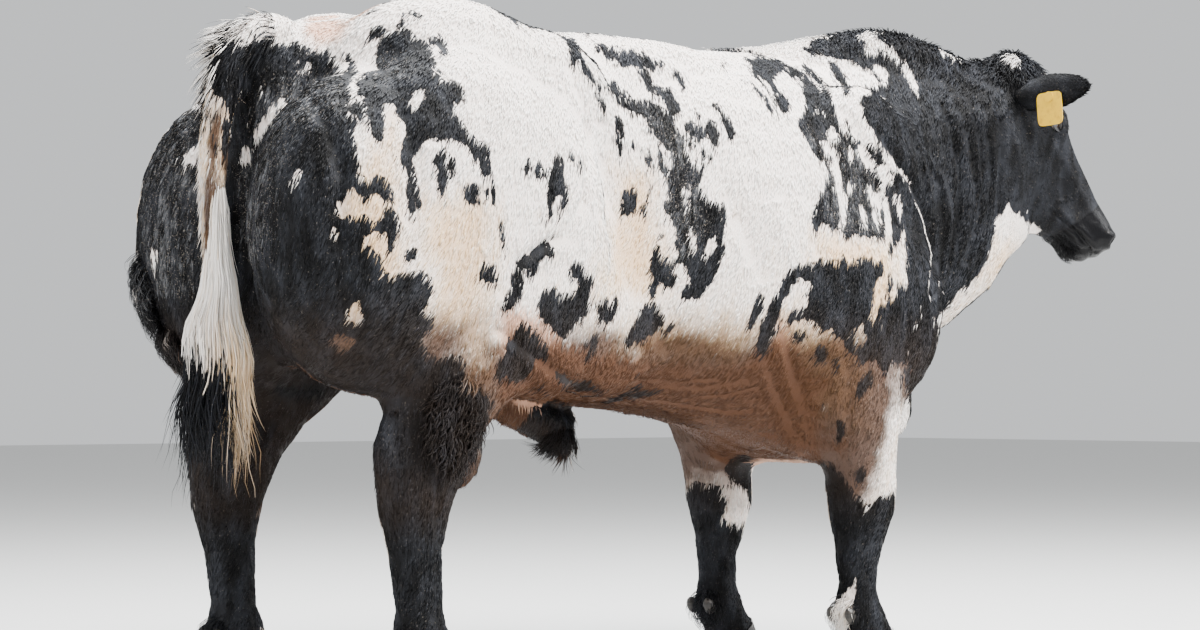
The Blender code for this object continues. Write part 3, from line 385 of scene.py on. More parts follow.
# Outlines of the markings, laid on in this order
MARKS = outlines("""
# right ham and the big patch on the rump
D 262,84 280,72 298,60 310,52 330,50 344,66 350,76 352,92 350,110 352,124 354,140 358,150 362,158 360,172
 368,168 376,162 384,168 392,182 396,198 398,212 402,222 398,240 390,256 384,264 388,276 400,276 404,264
 402,252 410,248 418,246 418,254 412,262 404,270 420,270 432,276 435,290 430,302 424,310 432,316 432,326
 422,336 424,346 432,352 440,358 450,352 462,356 466,366 464,380 476,386 486,392 494,400 490,420 486,440
 474,456 466,470 470,500 480,560 490,640 360,640 372,500 366,457 370,400 340,380 300,376 262,360 226,330
 226,180 236,150 246,120 254,100
D 376,42 382,34 396,30 408,27 414,34 420,40 430,40 433,50 436,58 434,66 440,74 446,80 460,80 466,88 467,98
 458,103 452,112 462,120 468,128 476,138 488,142 491,158 493,176 486,178 480,168 474,158 470,148 460,142
 450,138 440,140 430,138 420,148 414,160 418,178 422,196 412,206 402,196 398,178 398,160 400,146 404,134
 398,118 392,104 386,108 386,124 384,140 380,146 372,132 366,112 362,96 362,76 370,70 378,72 376,56
D 430,36 438,33 447,39 452,50 447,58 440,56 437,46 430,44
D 401,14 412,11 424,14 420,19 408,20 400,24
D 352,12 366,8 378,10 366,15 358,18
D 362,44 370,30 386,22 388,32 378,38 366,46
L 282,97 284,101 274,117 262,131 255,139 253,136 262,121 272,106
L 296,76 300,68 308,61 312,64 304,72
D 232,62 262,44 300,40 314,48 298,62 280,76 264,92 252,116 246,150 238,190 226,190 230,120
L 246,146 252,148 248,160 242,158
D 344,54 353,52 355,70 353,94 346,92
D 357,80 364,76 367,92 362,100 358,96
D 352,104 367,100 368,116 360,122 353,114
D 346,116 352,110 357,126 352,136
L 352,138 356,128 362,120 370,126 372,138 376,150 384,156 392,150 400,160 404,178 402,198 394,190 386,176
 378,170 368,174 362,166 368,156 366,146
L 386,104 392,102 398,118 404,130 398,146 396,160 404,172 400,186 392,172 390,156 386,142 390,128 388,114
L 412,98 418,92 424,88 424,98 418,106 412,102
L 338,206 346,196 352,186 358,192 362,202 370,198 380,192 388,200 396,192 402,200 398,212 390,206 384,218
 374,220 366,210 354,214 342,218
L 330,232 336,224 342,228 338,236
L 366,240 374,232 386,236 386,248 378,254 370,248
L 388,262 400,248 406,262 400,276 388,276
L 348,306 358,298 364,310 366,318 356,328 352,316
L 330,340 338,330 346,338 356,340 350,350 336,348
L 290,178 296,170 300,172 292,182
D 440,142 446,150 448,166 448,184 444,200 438,190 436,172 432,160
D 448,156 454,158 458,170 452,176
D 462,192 472,176 478,186 482,202 474,208 466,202
D 486,186 494,178 498,190 498,208 490,208
D 408,206 416,198 420,206 414,216
# hip and the front of the thigh
D 522,172 524,160 530,156 534,162 530,170 526,176
D 534,166 540,160 546,170 544,178 538,180 533,174
D 557,152 562,158 566,172 568,186 568,204 562,216 556,222 560,206 562,196 556,190 552,204 548,218 545,216
 546,200 549,186 552,168
D 569,158 573,150 575,158 571,164
D 577,162 579,154 582,166 579,170
D 500,220 504,218 508,224 506,240 507,252 503,248 499,238 501,230
D 484,262 496,260 498,272 496,282 486,284 476,277 482,270
D 495,8 502,6 516,20 520,26 510,20
# flank fold and the groin
D 500,316 506,296 514,276 520,258 530,250 540,242 554,232 548,242 554,248 552,256 540,256 538,268 534,280
 522,282 520,296 516,308 504,314
L 521,270 526,266 530,270 527,276 521,274
D 535,298 546,290 554,286 564,292 576,292 582,284 574,276 568,266 572,260 580,262 586,272 592,268 593,290
 590,310 584,322 576,322 570,332 562,334 566,340 556,336 544,320 536,308
D 598,302 606,296 610,304 616,292 621,304 614,320 604,326 598,318
D 584,342 594,334 602,334 600,342 590,348
D 582,358 590,352 600,348 592,356
D 622,340 634,324 644,304 656,302 662,312 664,320 656,332 640,342 630,346
D 662,332 668,322 684,314 680,324 672,334 664,336
D 496,376 500,356 508,344 516,326 526,320 540,330 548,344 548,356 536,360 532,372 520,382 506,378
D 536,386 544,384 542,396 536,398
D 548,390 554,392 552,398
D 555,370 562,374 584,382 604,386 610,390 600,394 586,390 566,384 554,380
D 600,408 612,398 626,392 642,386 636,394 620,400 606,410
D 630,394 646,390 662,390 650,395 634,399
D 636,374 640,372 641,378 637,379
# loin and barrel
D 563,36 574,38 580,50 586,62 592,74 602,84 600,88 590,80 584,74 580,60 576,66 572,68 570,56 566,46
D 585,34 600,42 620,48 640,52 656,58 668,64 656,70 640,66 622,66 606,58 598,46
D 604,82 612,80 620,88 628,94 618,96 608,92
D 596,94 604,98 612,112 604,112
D 612,94 630,100 644,102 658,118 648,118 636,112 620,106
D 612,112 620,120 626,136 618,130
D 614,138 620,134 623,146 620,156
D 628,146 634,140 638,144 632,152
D 640,144 648,148 654,168 650,174 644,162
D 636,68 648,70 656,84 662,88 670,84 674,94 680,104 680,120 684,128 694,138 700,150 706,170 704,180 698,186
 706,190 712,200 722,204 728,220 724,240 728,250 720,262 716,276 708,288 706,296 690,300 680,300 684,288
 692,282 684,262 672,268 680,278 670,288 660,282 656,298 648,292 652,276 648,262 654,246 660,232 668,246
 680,240 678,222 668,216 664,206 672,196 668,180 660,168 656,156 664,150 656,140 650,128 648,112 640,96
 650,100 646,88
L 692,226 697,236 697,250 692,256 690,240
L 702,256 708,244 716,234 716,246 708,256
L 684,142 694,152 702,166 692,158
L 672,112 684,130 690,142 680,136
L 664,156 672,150 674,164 668,170
L 656,240 666,236 680,252 672,262 662,256
L 684,186 688,182 689,206 686,214
L 652,92 662,100 668,110 658,106
D 682,124 694,122 704,128 708,118 718,120 722,132 718,148 708,138 700,140 690,134
D 718,102 728,116 736,132 732,138 724,122
D 711,106 720,102 718,110
D 703,148 712,154 714,164 706,158
D 694,106 700,112 704,122 698,118
D 622,198 632,184 640,190 636,206 626,218 620,212
D 646,184 654,180 654,196 650,206 645,200
D 640,206 646,200 648,214 642,222
D 672,66 680,72 686,84 682,92 676,80
# shoulder
D 744,58 760,56 776,58 788,64 780,72 774,80 782,92 788,106 786,112 776,104 770,92 764,84 756,78 750,70
D 750,80 762,92 772,104 778,114 768,108 758,96
D 722,60 727,68 724,72
D 740,72 748,80 756,92 746,86
D 784,66 796,66 806,72 814,76 826,84 832,96 836,110 840,124 836,130 828,120 818,106 808,100 806,88 798,78
 790,74
D 827,181 816,204 812,229 818,230 824,222 831,229 840,232 847,237 860,234 875,239 889,237 890,258 898,240
 909,246 920,252 931,256 932,240 927,215 915,186 901,173 893,169 884,160 875,145 859,141 843,129 835,105
 829,89 815,71 803,65 801,85 809,101 804,114 797,121 802,132 807,141 812,154 822,162 829,173
L 821,141 827,140 838,154 836,158 826,152
L 823,131 832,129 841,137 832,140
L 830,164 835,163 842,185 846,205 844,226 841,226 840,205 835,184
L 811,105 817,104 824,114 818,114
L 806,70 812,74 824,90 820,90
L 856,146 862,144 876,165 873,171 863,160
L 863,184 870,184 886,205 881,211 870,200
L 876,160 886,168 894,180 887,183 879,172
L 884,190 888,194 890,238 888,254 886,234 884,210
L 892,196 896,190 904,205 908,222 900,215
L 873,206 878,211 878,226 874,222
L 901,232 907,231 909,252 903,250
L 848,146 853,150 856,160 850,158
L 850,178 854,182 853,198 849,192
L 862,208 865,212 864,226 861,222
D 828,60 836,62 846,74 852,88 847,94 840,84 832,72
D 840,112 846,118 850,128 844,124
D 866,86 874,86 888,98 880,100
D 900,172 914,186 926,212 933,245 933,275 926,300 916,325 908,310 906,262 902,220
D 788,268 800,264 814,262 824,256 836,262 840,244 850,262 866,256 880,262 892,276 906,286 914,310 916,340
 908,366 894,362 886,374 878,364 870,358 862,366 856,356 848,352 844,342 836,338 832,328 824,334 816,322
 806,322 796,320 788,326 784,320 794,306 800,294 812,284 800,280
L 872,300 874,284 882,274 890,260 896,262 888,280 884,292 880,306 877,324 873,318
L 884,300 890,292 898,282 895,296
L 796,304 802,296 806,300 800,310
L 854,330 862,324 866,340 858,346
L 846,240 856,238 872,240 880,246 874,254 858,256 850,252
D 748,328 752,312 760,292 764,298 762,308 754,324
D 762,358 756,344 762,320 770,302 780,286 790,268 804,266 800,278 790,292 782,304 778,316 776,332 768,350
# neck, head and jaw
D 800,52 812,40 830,32 860,24 905,24 930,36 944,54 960,58 985,44 1010,40 1030,52 1046,74 1070,76 1110,70
 1112,106 1090,130 1084,160 1104,194 1122,230 1112,262 1060,272 1036,266 1032,244 1040,230 1030,224 1018,214
 1008,206 998,216 996,240 988,264 970,290 940,316 925,340 905,372 912,330 920,300 930,262 926,222 914,190
 902,172 888,154 878,138 868,124 862,112 862,100 868,92 880,84 872,72 862,66 852,60 830,56
L 860,36 872,32 884,42 896,54 904,62 892,56 880,48 868,42
L 870,68 880,62 888,66 892,76 884,80 876,74
L 902,60 909,66 914,76 918,94 909,80
L 862,46 876,46 882,54 870,52
D 868,86 882,88 890,96 880,98
L 1007,56 1014,54 1020,60 1018,65 1010,62
L 1000,218 1008,214 1016,216 1020,224 1030,230 1040,228 1034,240 1032,250 1040,258 1038,266 1022,272
 1002,268 988,272 970,292 940,314 962,290 984,268 996,244
D 898,326 940,316 950,400 917,424 908,380 912,350
# right foreleg
D 800,328 806,332 806,338 800,342 794,338 794,332
D 816,352 820,344 830,346 830,354 824,364 817,362
D 834,360 839,358 841,364 837,374
D 857,400 858,386 864,374 870,368 875,378 868,388 862,396
D 836,434 838,422 846,416 850,424 844,436 838,440
D 904,382 902,366 912,362 918,380 908,388
D 912,406 911,392 918,384 917,402
D 822,404 828,400 828,408
D 816,458 832,462 842,476 852,484 864,498 872,512 866,560 816,640 810,560 822,500
D 852,478 858,468 868,466 869,478 862,486 854,484
D 864,512 878,498 890,494 896,486 904,492 906,640 850,640
# left foreleg
D 676,512 682,492 694,480 720,484 736,478 724,470 728,464 742,456 752,450 760,480 758,560 750,640 680,640
L 720,486 736,484 746,492 748,512 740,524 724,520 730,500
# left thigh and leg
D 120,90 200,90 226,110 238,150 240,300 250,400 320,360 320,420 300,470 276,500 262,560 262,650 180,650
 190,480 180,400 120,330
L 186,108 200,92 214,80 226,78 220,96 208,106
L 182,158 190,148 200,142 204,150 194,164
L 130,250 138,248 142,280 150,320 140,326 128,300
L 152,250 157,246 159,260 153,266
L 160,340 170,332 178,340 176,352 166,350
L 260,508 268,496 276,500 272,512 266,518
D 236,300 262,346 300,352 330,350 352,366 372,372 372,400 330,430 250,430
D 906,180 920,190 936,220 944,256 940,290 926,320 916,330 922,290 924,256 918,216 908,194
D 532,408 556,400 600,408 604,480 530,480 518,430
D 150,330 182,330 186,400 150,390
""")
TAIL_MARKS = outlines("""
D 206,10 316,6 316,46 300,48 262,66 258,92 250,136 238,142 228,120 222,100 214,90 204,60
D 224,112 240,120 236,150 226,160 216,150
D 164,368 186,366 204,374 226,372 234,384 238,420 238,470 244,486 260,520 150,540 150,430
D 184,338 196,330 200,346 206,362 190,368 182,356
L 188,384 196,380 200,388 194,394
""")
# Places where the tail's hair is soiled
TAIL_DIRT = ("218,90 240,120 240,200 232,250 206,250 203,190 208,140", "232,378 250,390 248,505 234,500",
             "196,240 236,244 240,300 200,320")
# Places with thin pink hair and bare skin, and places with creamy hair
BARE = (
    "500,308 524,306 548,318 566,340 600,352 650,360 700,366 745,362 776,330 780,312 790,330 806,360 820,400"
    " 816,440 800,462 760,446 700,430 640,404 604,414 590,438 500,420",
    "304,350 330,340 330,362 290,358 262,352",
    "306,12 336,8 352,24 340,40 318,44 306,34",
)
CREAM = (
    "420,196 470,190 494,200 498,240 490,300 494,380 470,380 460,340 430,320 440,270 420,240",
    "340,180 404,100 404,280 350,330 330,240", "612,160 660,170 660,290 612,290",
    "820,236 900,236 900,330 820,330", "1000,240 1040,250 1040,272 990,272", "780,320 860,330 860,420 790,420",
    "640,320 760,330 740,366 620,350",
)
# Places with fine pale flecks in the dark coat
FLECKED = (
    "246,92 290,88 290,110 276,150 262,210 240,230 234,190 240,140",
    "800,120 870,150 892,200 890,240 830,236 806,170", "640,100 700,140 712,240 670,280 650,180",
    "150,150 202,130 204,230 176,240 150,200",
    "262,84 300,60 340,70 350,110 300,130 280,180 270,260 236,260 232,180 250,120",
    "374,50 410,50 414,80 376,84", "150,110 200,100 204,200 200,300 140,300 136,180",
)


# Outlines of the creamy, the bare and the flecked places, and how soft their edges are in pixels
AREAS = ((CREAM, 30.0), (BARE, 14.0), (FLECKED, 12.0))


@dataclass
class Colours:
    """What the coat shows at each point: how dark, creamy, bare and flecked, its dirt and painted shade, and its
    combed place.
    """

    dark: Array
    cream: Array
    bare: Array
    fleck: Array
    # dirt on the tail, and painted shade under the body
    stain: Array
    comb: Array

    def chosen(self, index: Array) -> "Colours":
        """Returns the values at the chosen places."""
        return Colours(*(getattr(self, name)[index] for name in FIELDS))


FIELDS = ("dark", "cream", "bare", "fleck", "stain", "comb")


class Markings:
    """Lays the markings on the animal: drawn outlines on the side that is seen, mirrored on the other."""

    def outlines(self, pixels: Array, part: Part) -> Array:
        """Depth inside the dark coat in pixels: each dark outline takes the greater, each light one the lesser.

        Args:
            pixels: N by 2 places in the picture.
            part: which list of outlines holds.

        Returns:
            N signed distances, positive where the coat is dark.
        """
        result = np.full(len(pixels), LIGHTEST)
        for outline in MARKS if part is Part.BODY else TAIL_MARKS:
            value = depth_inside(pixels, outline.corners)
            result = np.maximum(result, value) if outline.dark else np.minimum(result, -value)
        return result

    def areas(self, pixels: Array, outlines: tuple, soft: float) -> Array:
        """Returns from 0 to 1 how far each pixel lies inside any of the outlines, with soft edges."""
        result = np.zeros(len(pixels))
        for text in outlines:
            result = np.maximum(result, smoothstep(-soft, soft, depth_inside(pixels, corners(text), soft + 2)))
        return result

    def lay(self, points: Array, normals: Array, part: Part = Part.BODY) -> Colours:
        """Works out the coat at places of the skin.

        Where the camera sees the skin the outlines count. The far flank takes them mirrored and bent by noise,
        and places that face neither way take patches of noise. The head, the legs and the belly have rules of
        their own.

        Args:
            points: N by 3 places.
            normals: N by 3 unit normals.
            part: body or tail.

        Returns:
            The coat at each place.
        """
        toward = unit(VIEW.position() - points)
        facing = np.einsum("ij,ij->i", toward, normals)
        pixels, _ = VIEW.project(points)
        near = smoothstep(0.02, 0.2, facing)
        dark = self.outlines(pixels, part)
        cream, bare, fleck = (self.areas(pixels, *area) for area in AREAS)
        x, y, z = points.T
        bend = np.stack([soft_noise(points, 2.6, seed) for seed in (3, 4, 5)], axis=1)
        turned_over = mirrored(points) + (bend * np.array([0.16, 0.02, 0.10]) + np.array([0.05, 0.0, -0.02]))
        far_pixels, _ = VIEW.project(turned_over)
        turned = normals * np.array([1.0, -1.0, 1.0])
        far_facing = np.einsum("ij,ij->i", unit(VIEW.position() - turned_over), turned)
        if part is Part.BODY:
            far_dark = self.outlines(far_pixels, part)
            far = smoothstep(0.0, 0.25, far_facing) * (1.0 - near)
            patches = soft_noise(points, (5.0, 5.0, 3.0), 9) * 22.0 - 3.0
            rest = np.clip(1.0 - near - far, 0.0, 1.0) + 0.02
            dark = (near * dark + far * far_dark + rest * patches) / (near + far + rest)
            cream, bare, fleck = (near * seen + far * self.areas(far_pixels, *area)
                                  for seen, area in zip((cream, bare, fleck), AREAS))
            dark = self.whole_parts(points, normals, dark, near)
            under = smoothstep(-0.35, -0.8, normals[:, 2]) * smoothstep(0.80, 0.68, z)
            under = under * smoothstep(0.40, 0.50, z)
            behind_chest = smoothstep(0.7, 0.5, x)
            bare = np.maximum(bare, under * behind_chest)
            dark = dark - 10.0 * under * behind_chest * (1.0 - near)
        else:
            bare = bare * 0.0
            dark = np.where(near > 0.3, dark, np.where(z < 0.76, 8.0, -8.0))
            dirt = self.areas(pixels, TAIL_DIRT, 8.0)
        low = smoothstep(1.30, 0.80, z)
        cream = np.clip(0.32 * low + 0.62 * cream + 0.12 * soft_noise(points, 6.0, 72), 0.0, 1.0)
        rear = smoothstep(-0.62, -0.90, x - SHIFT[0])
        comb = np.stack([x, y * (0.30 + 0.70 * rear), z * 0.30], axis=1)
        if part is Part.TAIL:
            streak = soft_noise(points, (70.0, 70.0, 14.0), 73)
            stain = np.clip(dirt * (0.42 + 1.0 * streak) + 0.25 * streak - 0.08, 0.0, 0.8)
            return Colours(dark, np.clip(cream + 0.50, 0.0, 1.0), bare, fleck, stain, comb)
        # Painted shade: where the skin faces down, low on the trunk and away from the chest, the coat darkens
        # towards brown
        painted_shade_below = smoothstep(0.42, -0.35, normals[:, 2]) * smoothstep(0.34, 0.46, z) * smoothstep(0.90, 0.70, z)
        painted_shade_below = painted_shade_below * (1.0 - 0.85 * smoothstep(0.36, 0.46, x) * smoothstep(0.72, 0.60, z))
        stain = np.clip(painted_shade_below * (1.1 + 0.45 * soft_noise(points, (9.0, 9.0, 14.0), 71)), 0.0, 1.0)
        return Colours(dark, cream, bare, fleck, stain, comb)

    def lay_with_tail(self, points: Array, normals: Array) -> Colours:
        """Works out the coat, with the tail's own outlines on the places near the tail's run.

        Args:
            points: N by 3 places.
            normals: N by 3 unit normals.

        Returns:
            The coat at each place.
        """
        colours = self.lay(points, normals)
        tail = (distance_to_path(points, TAIL_RUN[:, :3]) < TAIL_REACH) & (points[:, 0] < BEHIND_RUMP)
        other = self.lay(points[tail], normals[tail], Part.TAIL)
        for name in FIELDS:
            getattr(colours, name)[tail] = getattr(other, name)
        return colours

    def whole_parts(self, points: Array, normals: Array, dark: Array, near: Array) -> Array:
        """Makes the head, the far side of the neck and the lower legs mostly dark, as the picture shows them.

        Args:
            points: N by 3 places.
            normals: N by 3 unit normals.
            dark: N depths inside the dark coat so far.
            near: N shares from 0 to 1 of how well the camera sees each place.

        Returns:
            The new depths.
        """
        inner = HEAD.into(points)
        x, _, z = points.T
        flecks = soft_noise(points, (14.0, 14.0, 6.0), 21) * 10.0
        hidden = 1.0 - near
        head = smoothstep(0.06, 0.0, distance_to_path(points, HEAD.out(FACE_RUN)) - 0.14)
        ahead = x + 0.2 * (1.2 - z) + 0.25 * smoothstep(1.40, 1.50, z)
        neck = smoothstep(0.62, 0.78, ahead) * smoothstep(0.62, 0.80, z)
        cover = hidden * np.maximum(head, neck)
        dark = dark * (1.0 - cover) + cover * (11.0 + flecks * 0.5 * (1.0 - head))
        jaw = smoothstep(0.05, 0.10, inner[:, 0]) * smoothstep(0.36, 0.30, inner[:, 0])
        jaw = jaw * smoothstep(-0.13, -0.16, inner[:, 2]) * head
        dark = dark - hidden * jaw * 26.0 * smoothstep(0.1, -0.3, normals[:, 2])
        star = np.sqrt((inner[:, 0] - 0.045) ** 2 + (inner[:, 1] / 0.8) ** 2)
        dark = np.where((inner[:, 2] > -0.02) & (head > 0.4), np.minimum(dark, (star - 0.008) * 500.0), dark)
        muzzle = smoothstep(0.400, 0.425, inner[:, 0]) * head
        dark = dark * (1.0 - muzzle) + 44.0 * muzzle
        legs = smoothstep(0.40, 0.30, z) * hidden
        dark = dark * (1.0 - legs) + legs * (9.0 + flecks * 0.4)
        inner_leg = smoothstep(0.62, 0.52, z) * smoothstep(0.36, 0.44, z) * hidden
        return dark + inner_leg * np.where(x < 0.0, 8.0, -8.0)


class Value:
    """A number of the shader, with the sums of Python: each operator adds a Math node."""

    def __init__(self, nodes: "Shader", socket: bpy.types.NodeSocket):
        """Keeps the shader and the socket that gives the number."""
        self.nodes = nodes
        self.socket = socket

    def _math(self, operation: str, *values: object) -> "Value":
        """Returns the result of one Math node."""
        inputs = {index: value for index, value in enumerate(values)}
        return self.nodes.add("ShaderNodeMath", {"operation": operation}, inputs, "Value")

    def __add__(self, other: object) -> "Value":
        """Returns the sum."""
        return self._math("ADD", self, other)

    __radd__ = __add__

    def __sub__(self, other: object) -> "Value":
        """Returns the difference."""
        return self._math("SUBTRACT", self, other)

    def __rsub__(self, other: object) -> "Value":
        """Returns the difference the other way round."""
        return self._math("SUBTRACT", other, self)

    def __mul__(self, other: object) -> "Value":
        """Returns the product."""
        return self._math("MULTIPLY", self, other)

    __rmul__ = __mul__

    def step(self, low: float, high: float) -> "Value":
        """Returns a smooth step from 0 at low to 1 at high."""
        ends = {1: low, 2: high, 3: 0.0, 4: 1.0} if low < high else {1: high, 2: low, 3: 1.0, 4: 0.0}
        smooth = {"interpolation_type": "SMOOTHSTEP"}
        return self.nodes.add("ShaderNodeMapRange", smooth, {0: self, **ends}, "Result")


class Shader:
    """A material under a Principled shader, with one method that adds any node."""

    def __init__(self, name: str, **settings: object):
        """Makes the material and sets the shader's own sockets.

        Args:
            name: the material's name.
            settings: values of the Principled sockets, with _ for a space.
        """
        self.material = bpy.data.materials.new(name)
        self.material.use_nodes = True
        self.tree = self.material.node_tree
        self.principled = self.tree.nodes["Principled BSDF"]
        for key, value in settings.items():
            self.set(key.replace("_", " "), value)

    def set(self, socket: str, value: object) -> None:
        """Gives a value or a link to one socket of the Principled shader."""
        self._feed(self.principled.inputs[socket], value)

    def _feed(self, socket: bpy.types.NodeSocket, value: object) -> None:
        """Links a shader value to a socket, or sets the socket's own number or colour."""
        if isinstance(value, Value):
            self.tree.links.new(value.socket, socket)
        elif isinstance(value, tuple) and len(value) == 3 and socket.type == "RGBA":
            socket.default_value = (*value, 1.0)
        else:
            socket.default_value = value

    def add(self, kind: str, settings: dict, inputs: dict, output: str | int) -> Value:
        """Adds a node: its settings first, then the values and links of its sockets.

        Args:
            kind: the node's type name.
            settings: its properties.
            inputs: socket name or number to value.
            output: the socket that is wanted.

        Returns:
            The wanted output.
        """
        node = self.tree.nodes.new(kind)
        for key, value in settings.items():
            setattr(node, key, value)
        for key, value in inputs.items():
            self._feed(node.inputs[key], value)
        return Value(self, node.outputs[output])

    def attribute(self, name: str, output: str = "Fac") -> Value:
        """Returns an attribute of the mesh."""
        return self.add("ShaderNodeAttribute", {"attribute_name": name}, {}, output)

    def mix(self, share: object, first: object, second: object) -> Value:
        """Returns the mix of two colours, first where the share is 0."""
        node = self.tree.nodes.new("ShaderNodeMix")
        node.data_type = "RGBA"
        self._feed(node.inputs[0], share)
        self._feed(node.inputs[6], first)
        self._feed(node.inputs[7], second)
        return Value(self, node.outputs[2])

    def noise(self, vector: Value, scale: float, detail: float = 2.0, rough: float = 0.5) -> Value:
        """Returns noise from 0 to 1 over a vector."""
        return self.add("ShaderNodeTexNoise", {}, {"Vector": vector, "Scale": scale, "Detail": detail,
                                                  "Roughness": rough}, 0)

    def stretched(self, vector: Value, scale: tuple) -> Value:
        """Returns the vector scaled along its axes."""
        return self.add("ShaderNodeVectorMath", {"operation": "MULTIPLY"}, {0: vector, 1: scale}, "Vector")

    def objects(self) -> Value:
        """Returns the object coordinates."""
        return self.add("ShaderNodeTexCoord", {}, {}, "Object")

    def bump(self, height: Value, distance: float, strength: float = 1.0) -> None:
        """Feeds a height to the Normal socket through a Bump node."""
        self.set("Normal", self.add("ShaderNodeBump", {}, {"Height": height, "Distance": distance,
                                                           "Strength": strength}, "Normal"))


@dataclass(frozen=True)
class CoatFinish:
    """Short hair and the skin under it: one pattern read from the mesh's own attributes."""

    black: tuple = (0.0020, 0.0020, 0.0024)
    charcoal: tuple = (0.023, 0.025, 0.031)
    white: tuple = (0.86, 0.83, 0.80)
    cream: tuple = (0.70, 0.485, 0.27)
    skin: tuple = (0.52, 0.235, 0.115)
    # Dark brown of the dirt on the tail and of the painted shade under the body
    dirt_and_shade_brown: tuple = (0.042, 0.015, 0.005)
    silver: tuple = (0.30, 0.31, 0.33)
    fleck_hair: tuple = (0.30, 0.26, 0.22)
    shaded_white: tuple = (0.66, 0.58, 0.50)
    under_hair: tuple = (0.62, 0.42, 0.34)
    # Brown-black of the same dirt and painted shade on the dark hair
    dirt_and_shade_black: tuple = (0.020, 0.012, 0.008)
    wet_black: tuple = (0.0045, 0.0045, 0.0052)
    ragged: float = 10.5

    def build(self, name: str, hair: bool) -> bpy.types.Material:
        """Makes the material.

        The dark coat is where the depth attribute plus streaky noise is above zero. Each tuft carries one
        place, so it takes one colour; the skin takes its colour from each point.

        Args:
            name: the material's name.
            hair: True for tufts and locks, False for the skin.

        Returns:
            The material.
        """
        shader = Shader(name, Roughness=0.48 if hair else 0.6, Specular_IOR_Level=0.10)
        comb = shader.attribute("comb", "Vector")
        dark = shader.attribute("dark")
        shade = shader.attribute("shade")
        streaks = shader.noise(comb, 62.0, 3.0, 0.6) - 0.5
        broad = shader.noise(comb, 22.0, 2.0, 0.5) - 0.5
        depth = dark + streaks * self.ragged * 1.5 + broad * self.ragged * 0.9 + shade * 1.1
        is_dark = depth.step(-0.7, 0.7)
        grey = shader.noise(comb, 30.0, 3.0, 0.6)
        dark_hair = shader.mix((grey + shade * 0.09).step(0.35, 0.85), self.black, self.charcoal)
        fleck = shader.attribute("fleck")
        silver = (streaks + shade * 0.10 + fleck * 0.22).step(0.20, 0.50) * fleck
        dark_hair = shader.mix(silver * 0.30, dark_hair, self.silver)
        speck = shader.noise(shader.objects(), 300.0, 1.0, 0.5) + fleck * 0.09 + shade * 0.02
        dark_hair = shader.mix(speck.step(0.70, 0.80) * 0.42, dark_hair, self.fleck_hair)
        cream = shader.attribute("cream") + (grey - 0.5) * 0.7 + shade * 0.12
        light_hair = shader.mix(cream.step(0.12, 0.95), self.white, self.cream)
        light_hair = shader.mix(shade.step(0.2, -1.8) * 0.30, light_hair, self.shaded_white)
        bare = shader.attribute("bare")
        blush = (bare + (grey - 0.5) * 0.5 + shade * 0.1).step(0.15, 0.95)
        light_hair = shader.mix(blush * (0.72 if hair else 0.92), light_hair, self.skin)
        if not hair:
            light_hair = shader.mix(0.35, light_hair, self.under_hair)
        # Painted shade under the body, and real dirt on the tail: light and dark hair mix towards dark browns
        stain = shader.attribute("stain") + (grey - 0.5) * 0.3 + shade * 0.05
        light_hair = shader.mix(stain.step(0.0, 0.85) * 0.95, light_hair, self.dirt_and_shade_brown)
        dark_hair = shader.mix(shader.attribute("stain") * 0.5, dark_hair, self.dirt_and_shade_black)
        wet = dark.step(26.0, 38.0)
        dark_hair = shader.mix(wet, dark_hair, self.wet_black)
        shader.set("Base Color", shader.mix(is_dark, light_hair, dark_hair))
        if not hair:
            shader.set("Roughness", 0.6 - wet * 0.34)
            fine = shader.noise(shader.stretched(comb, (1.0, 1.0, 0.5)), 520.0, 2.0, 0.6)
            shader.bump(fine, 0.0012, 0.6)
        return shader.material


@dataclass
class Surface:
    """A triangle mesh as arrays: places, unit normals of its points, and triangles."""

    points: Array
    triangles: Array
    normals: Array = field(default_factory=lambda: np.zeros((0, 3)))

    def __post_init__(self) -> None:
        """Works out the normals where none were given."""
        if len(self.normals) == 0:
            self.normals = self.point_normals()

    def point_normals(self) -> Array:
        """Returns the unit normals of the points: sums of the crossed sides of their triangles."""
        a, b, c = (self.points[self.triangles[:, k]] for k in range(3))
        face = np.cross(b - a, c - a)
        total = np.zeros_like(self.points)
        for axis in range(3):
            for k in range(3):
                total[:, axis] += np.bincount(self.triangles[:, k], face[:, axis], len(self.points))
        return unit(total)

    def areas(self) -> Array:
        """Returns the areas of the triangles."""
        a, b, c = (self.points[self.triangles[:, k]] for k in range(3))
        return np.linalg.norm(np.cross(b - a, c - a), axis=1) / 2.0

    def scatter(self, count: int, rng: np.random.Generator,
                weights: Array | None = None) -> tuple[Array, Array]:
        """Takes random places on the surface, as dense as the weights of the triangles say.

        Args:
            count: how many.
            rng: source of random numbers.
            weights: share of each triangle besides its area.

        Returns:
            The places and their unit normals.
        """
        chance = self.areas() * (1.0 if weights is None else weights)
        total = np.cumsum(chance)
        # One place for each equal share of the area, so that the cover is even
        picks = (np.arange(count) + rng.random(count)) / count * total[-1]
        chosen = np.minimum(np.searchsorted(total, picks), len(total) - 1)
        u, v = rng.random(count), rng.random(count)
        over = u + v > 1.0
        u[over], v[over] = 1.0 - u[over], 1.0 - v[over]
        share = np.stack([1.0 - u - v, u, v], axis=1)[:, :, None]
        corner = self.triangles[chosen]
        return (self.points[corner] * share).sum(axis=1), unit((self.normals[corner] * share).sum(axis=1))


def read_mesh(mesh: bpy.types.Mesh) -> tuple[Array, Array]:
    """Returns the places and the triangles of a mesh."""
    mesh.calc_loop_triangles()
    points = np.empty(len(mesh.vertices) * 3)
    mesh.vertices.foreach_get("co", points)
    triangles = np.empty(len(mesh.loop_triangles) * 3, np.int32)
    mesh.loop_triangles.foreach_get("vertices", triangles)
    return points.reshape(-1, 3), triangles.reshape(-1, 3).astype(np.int64)


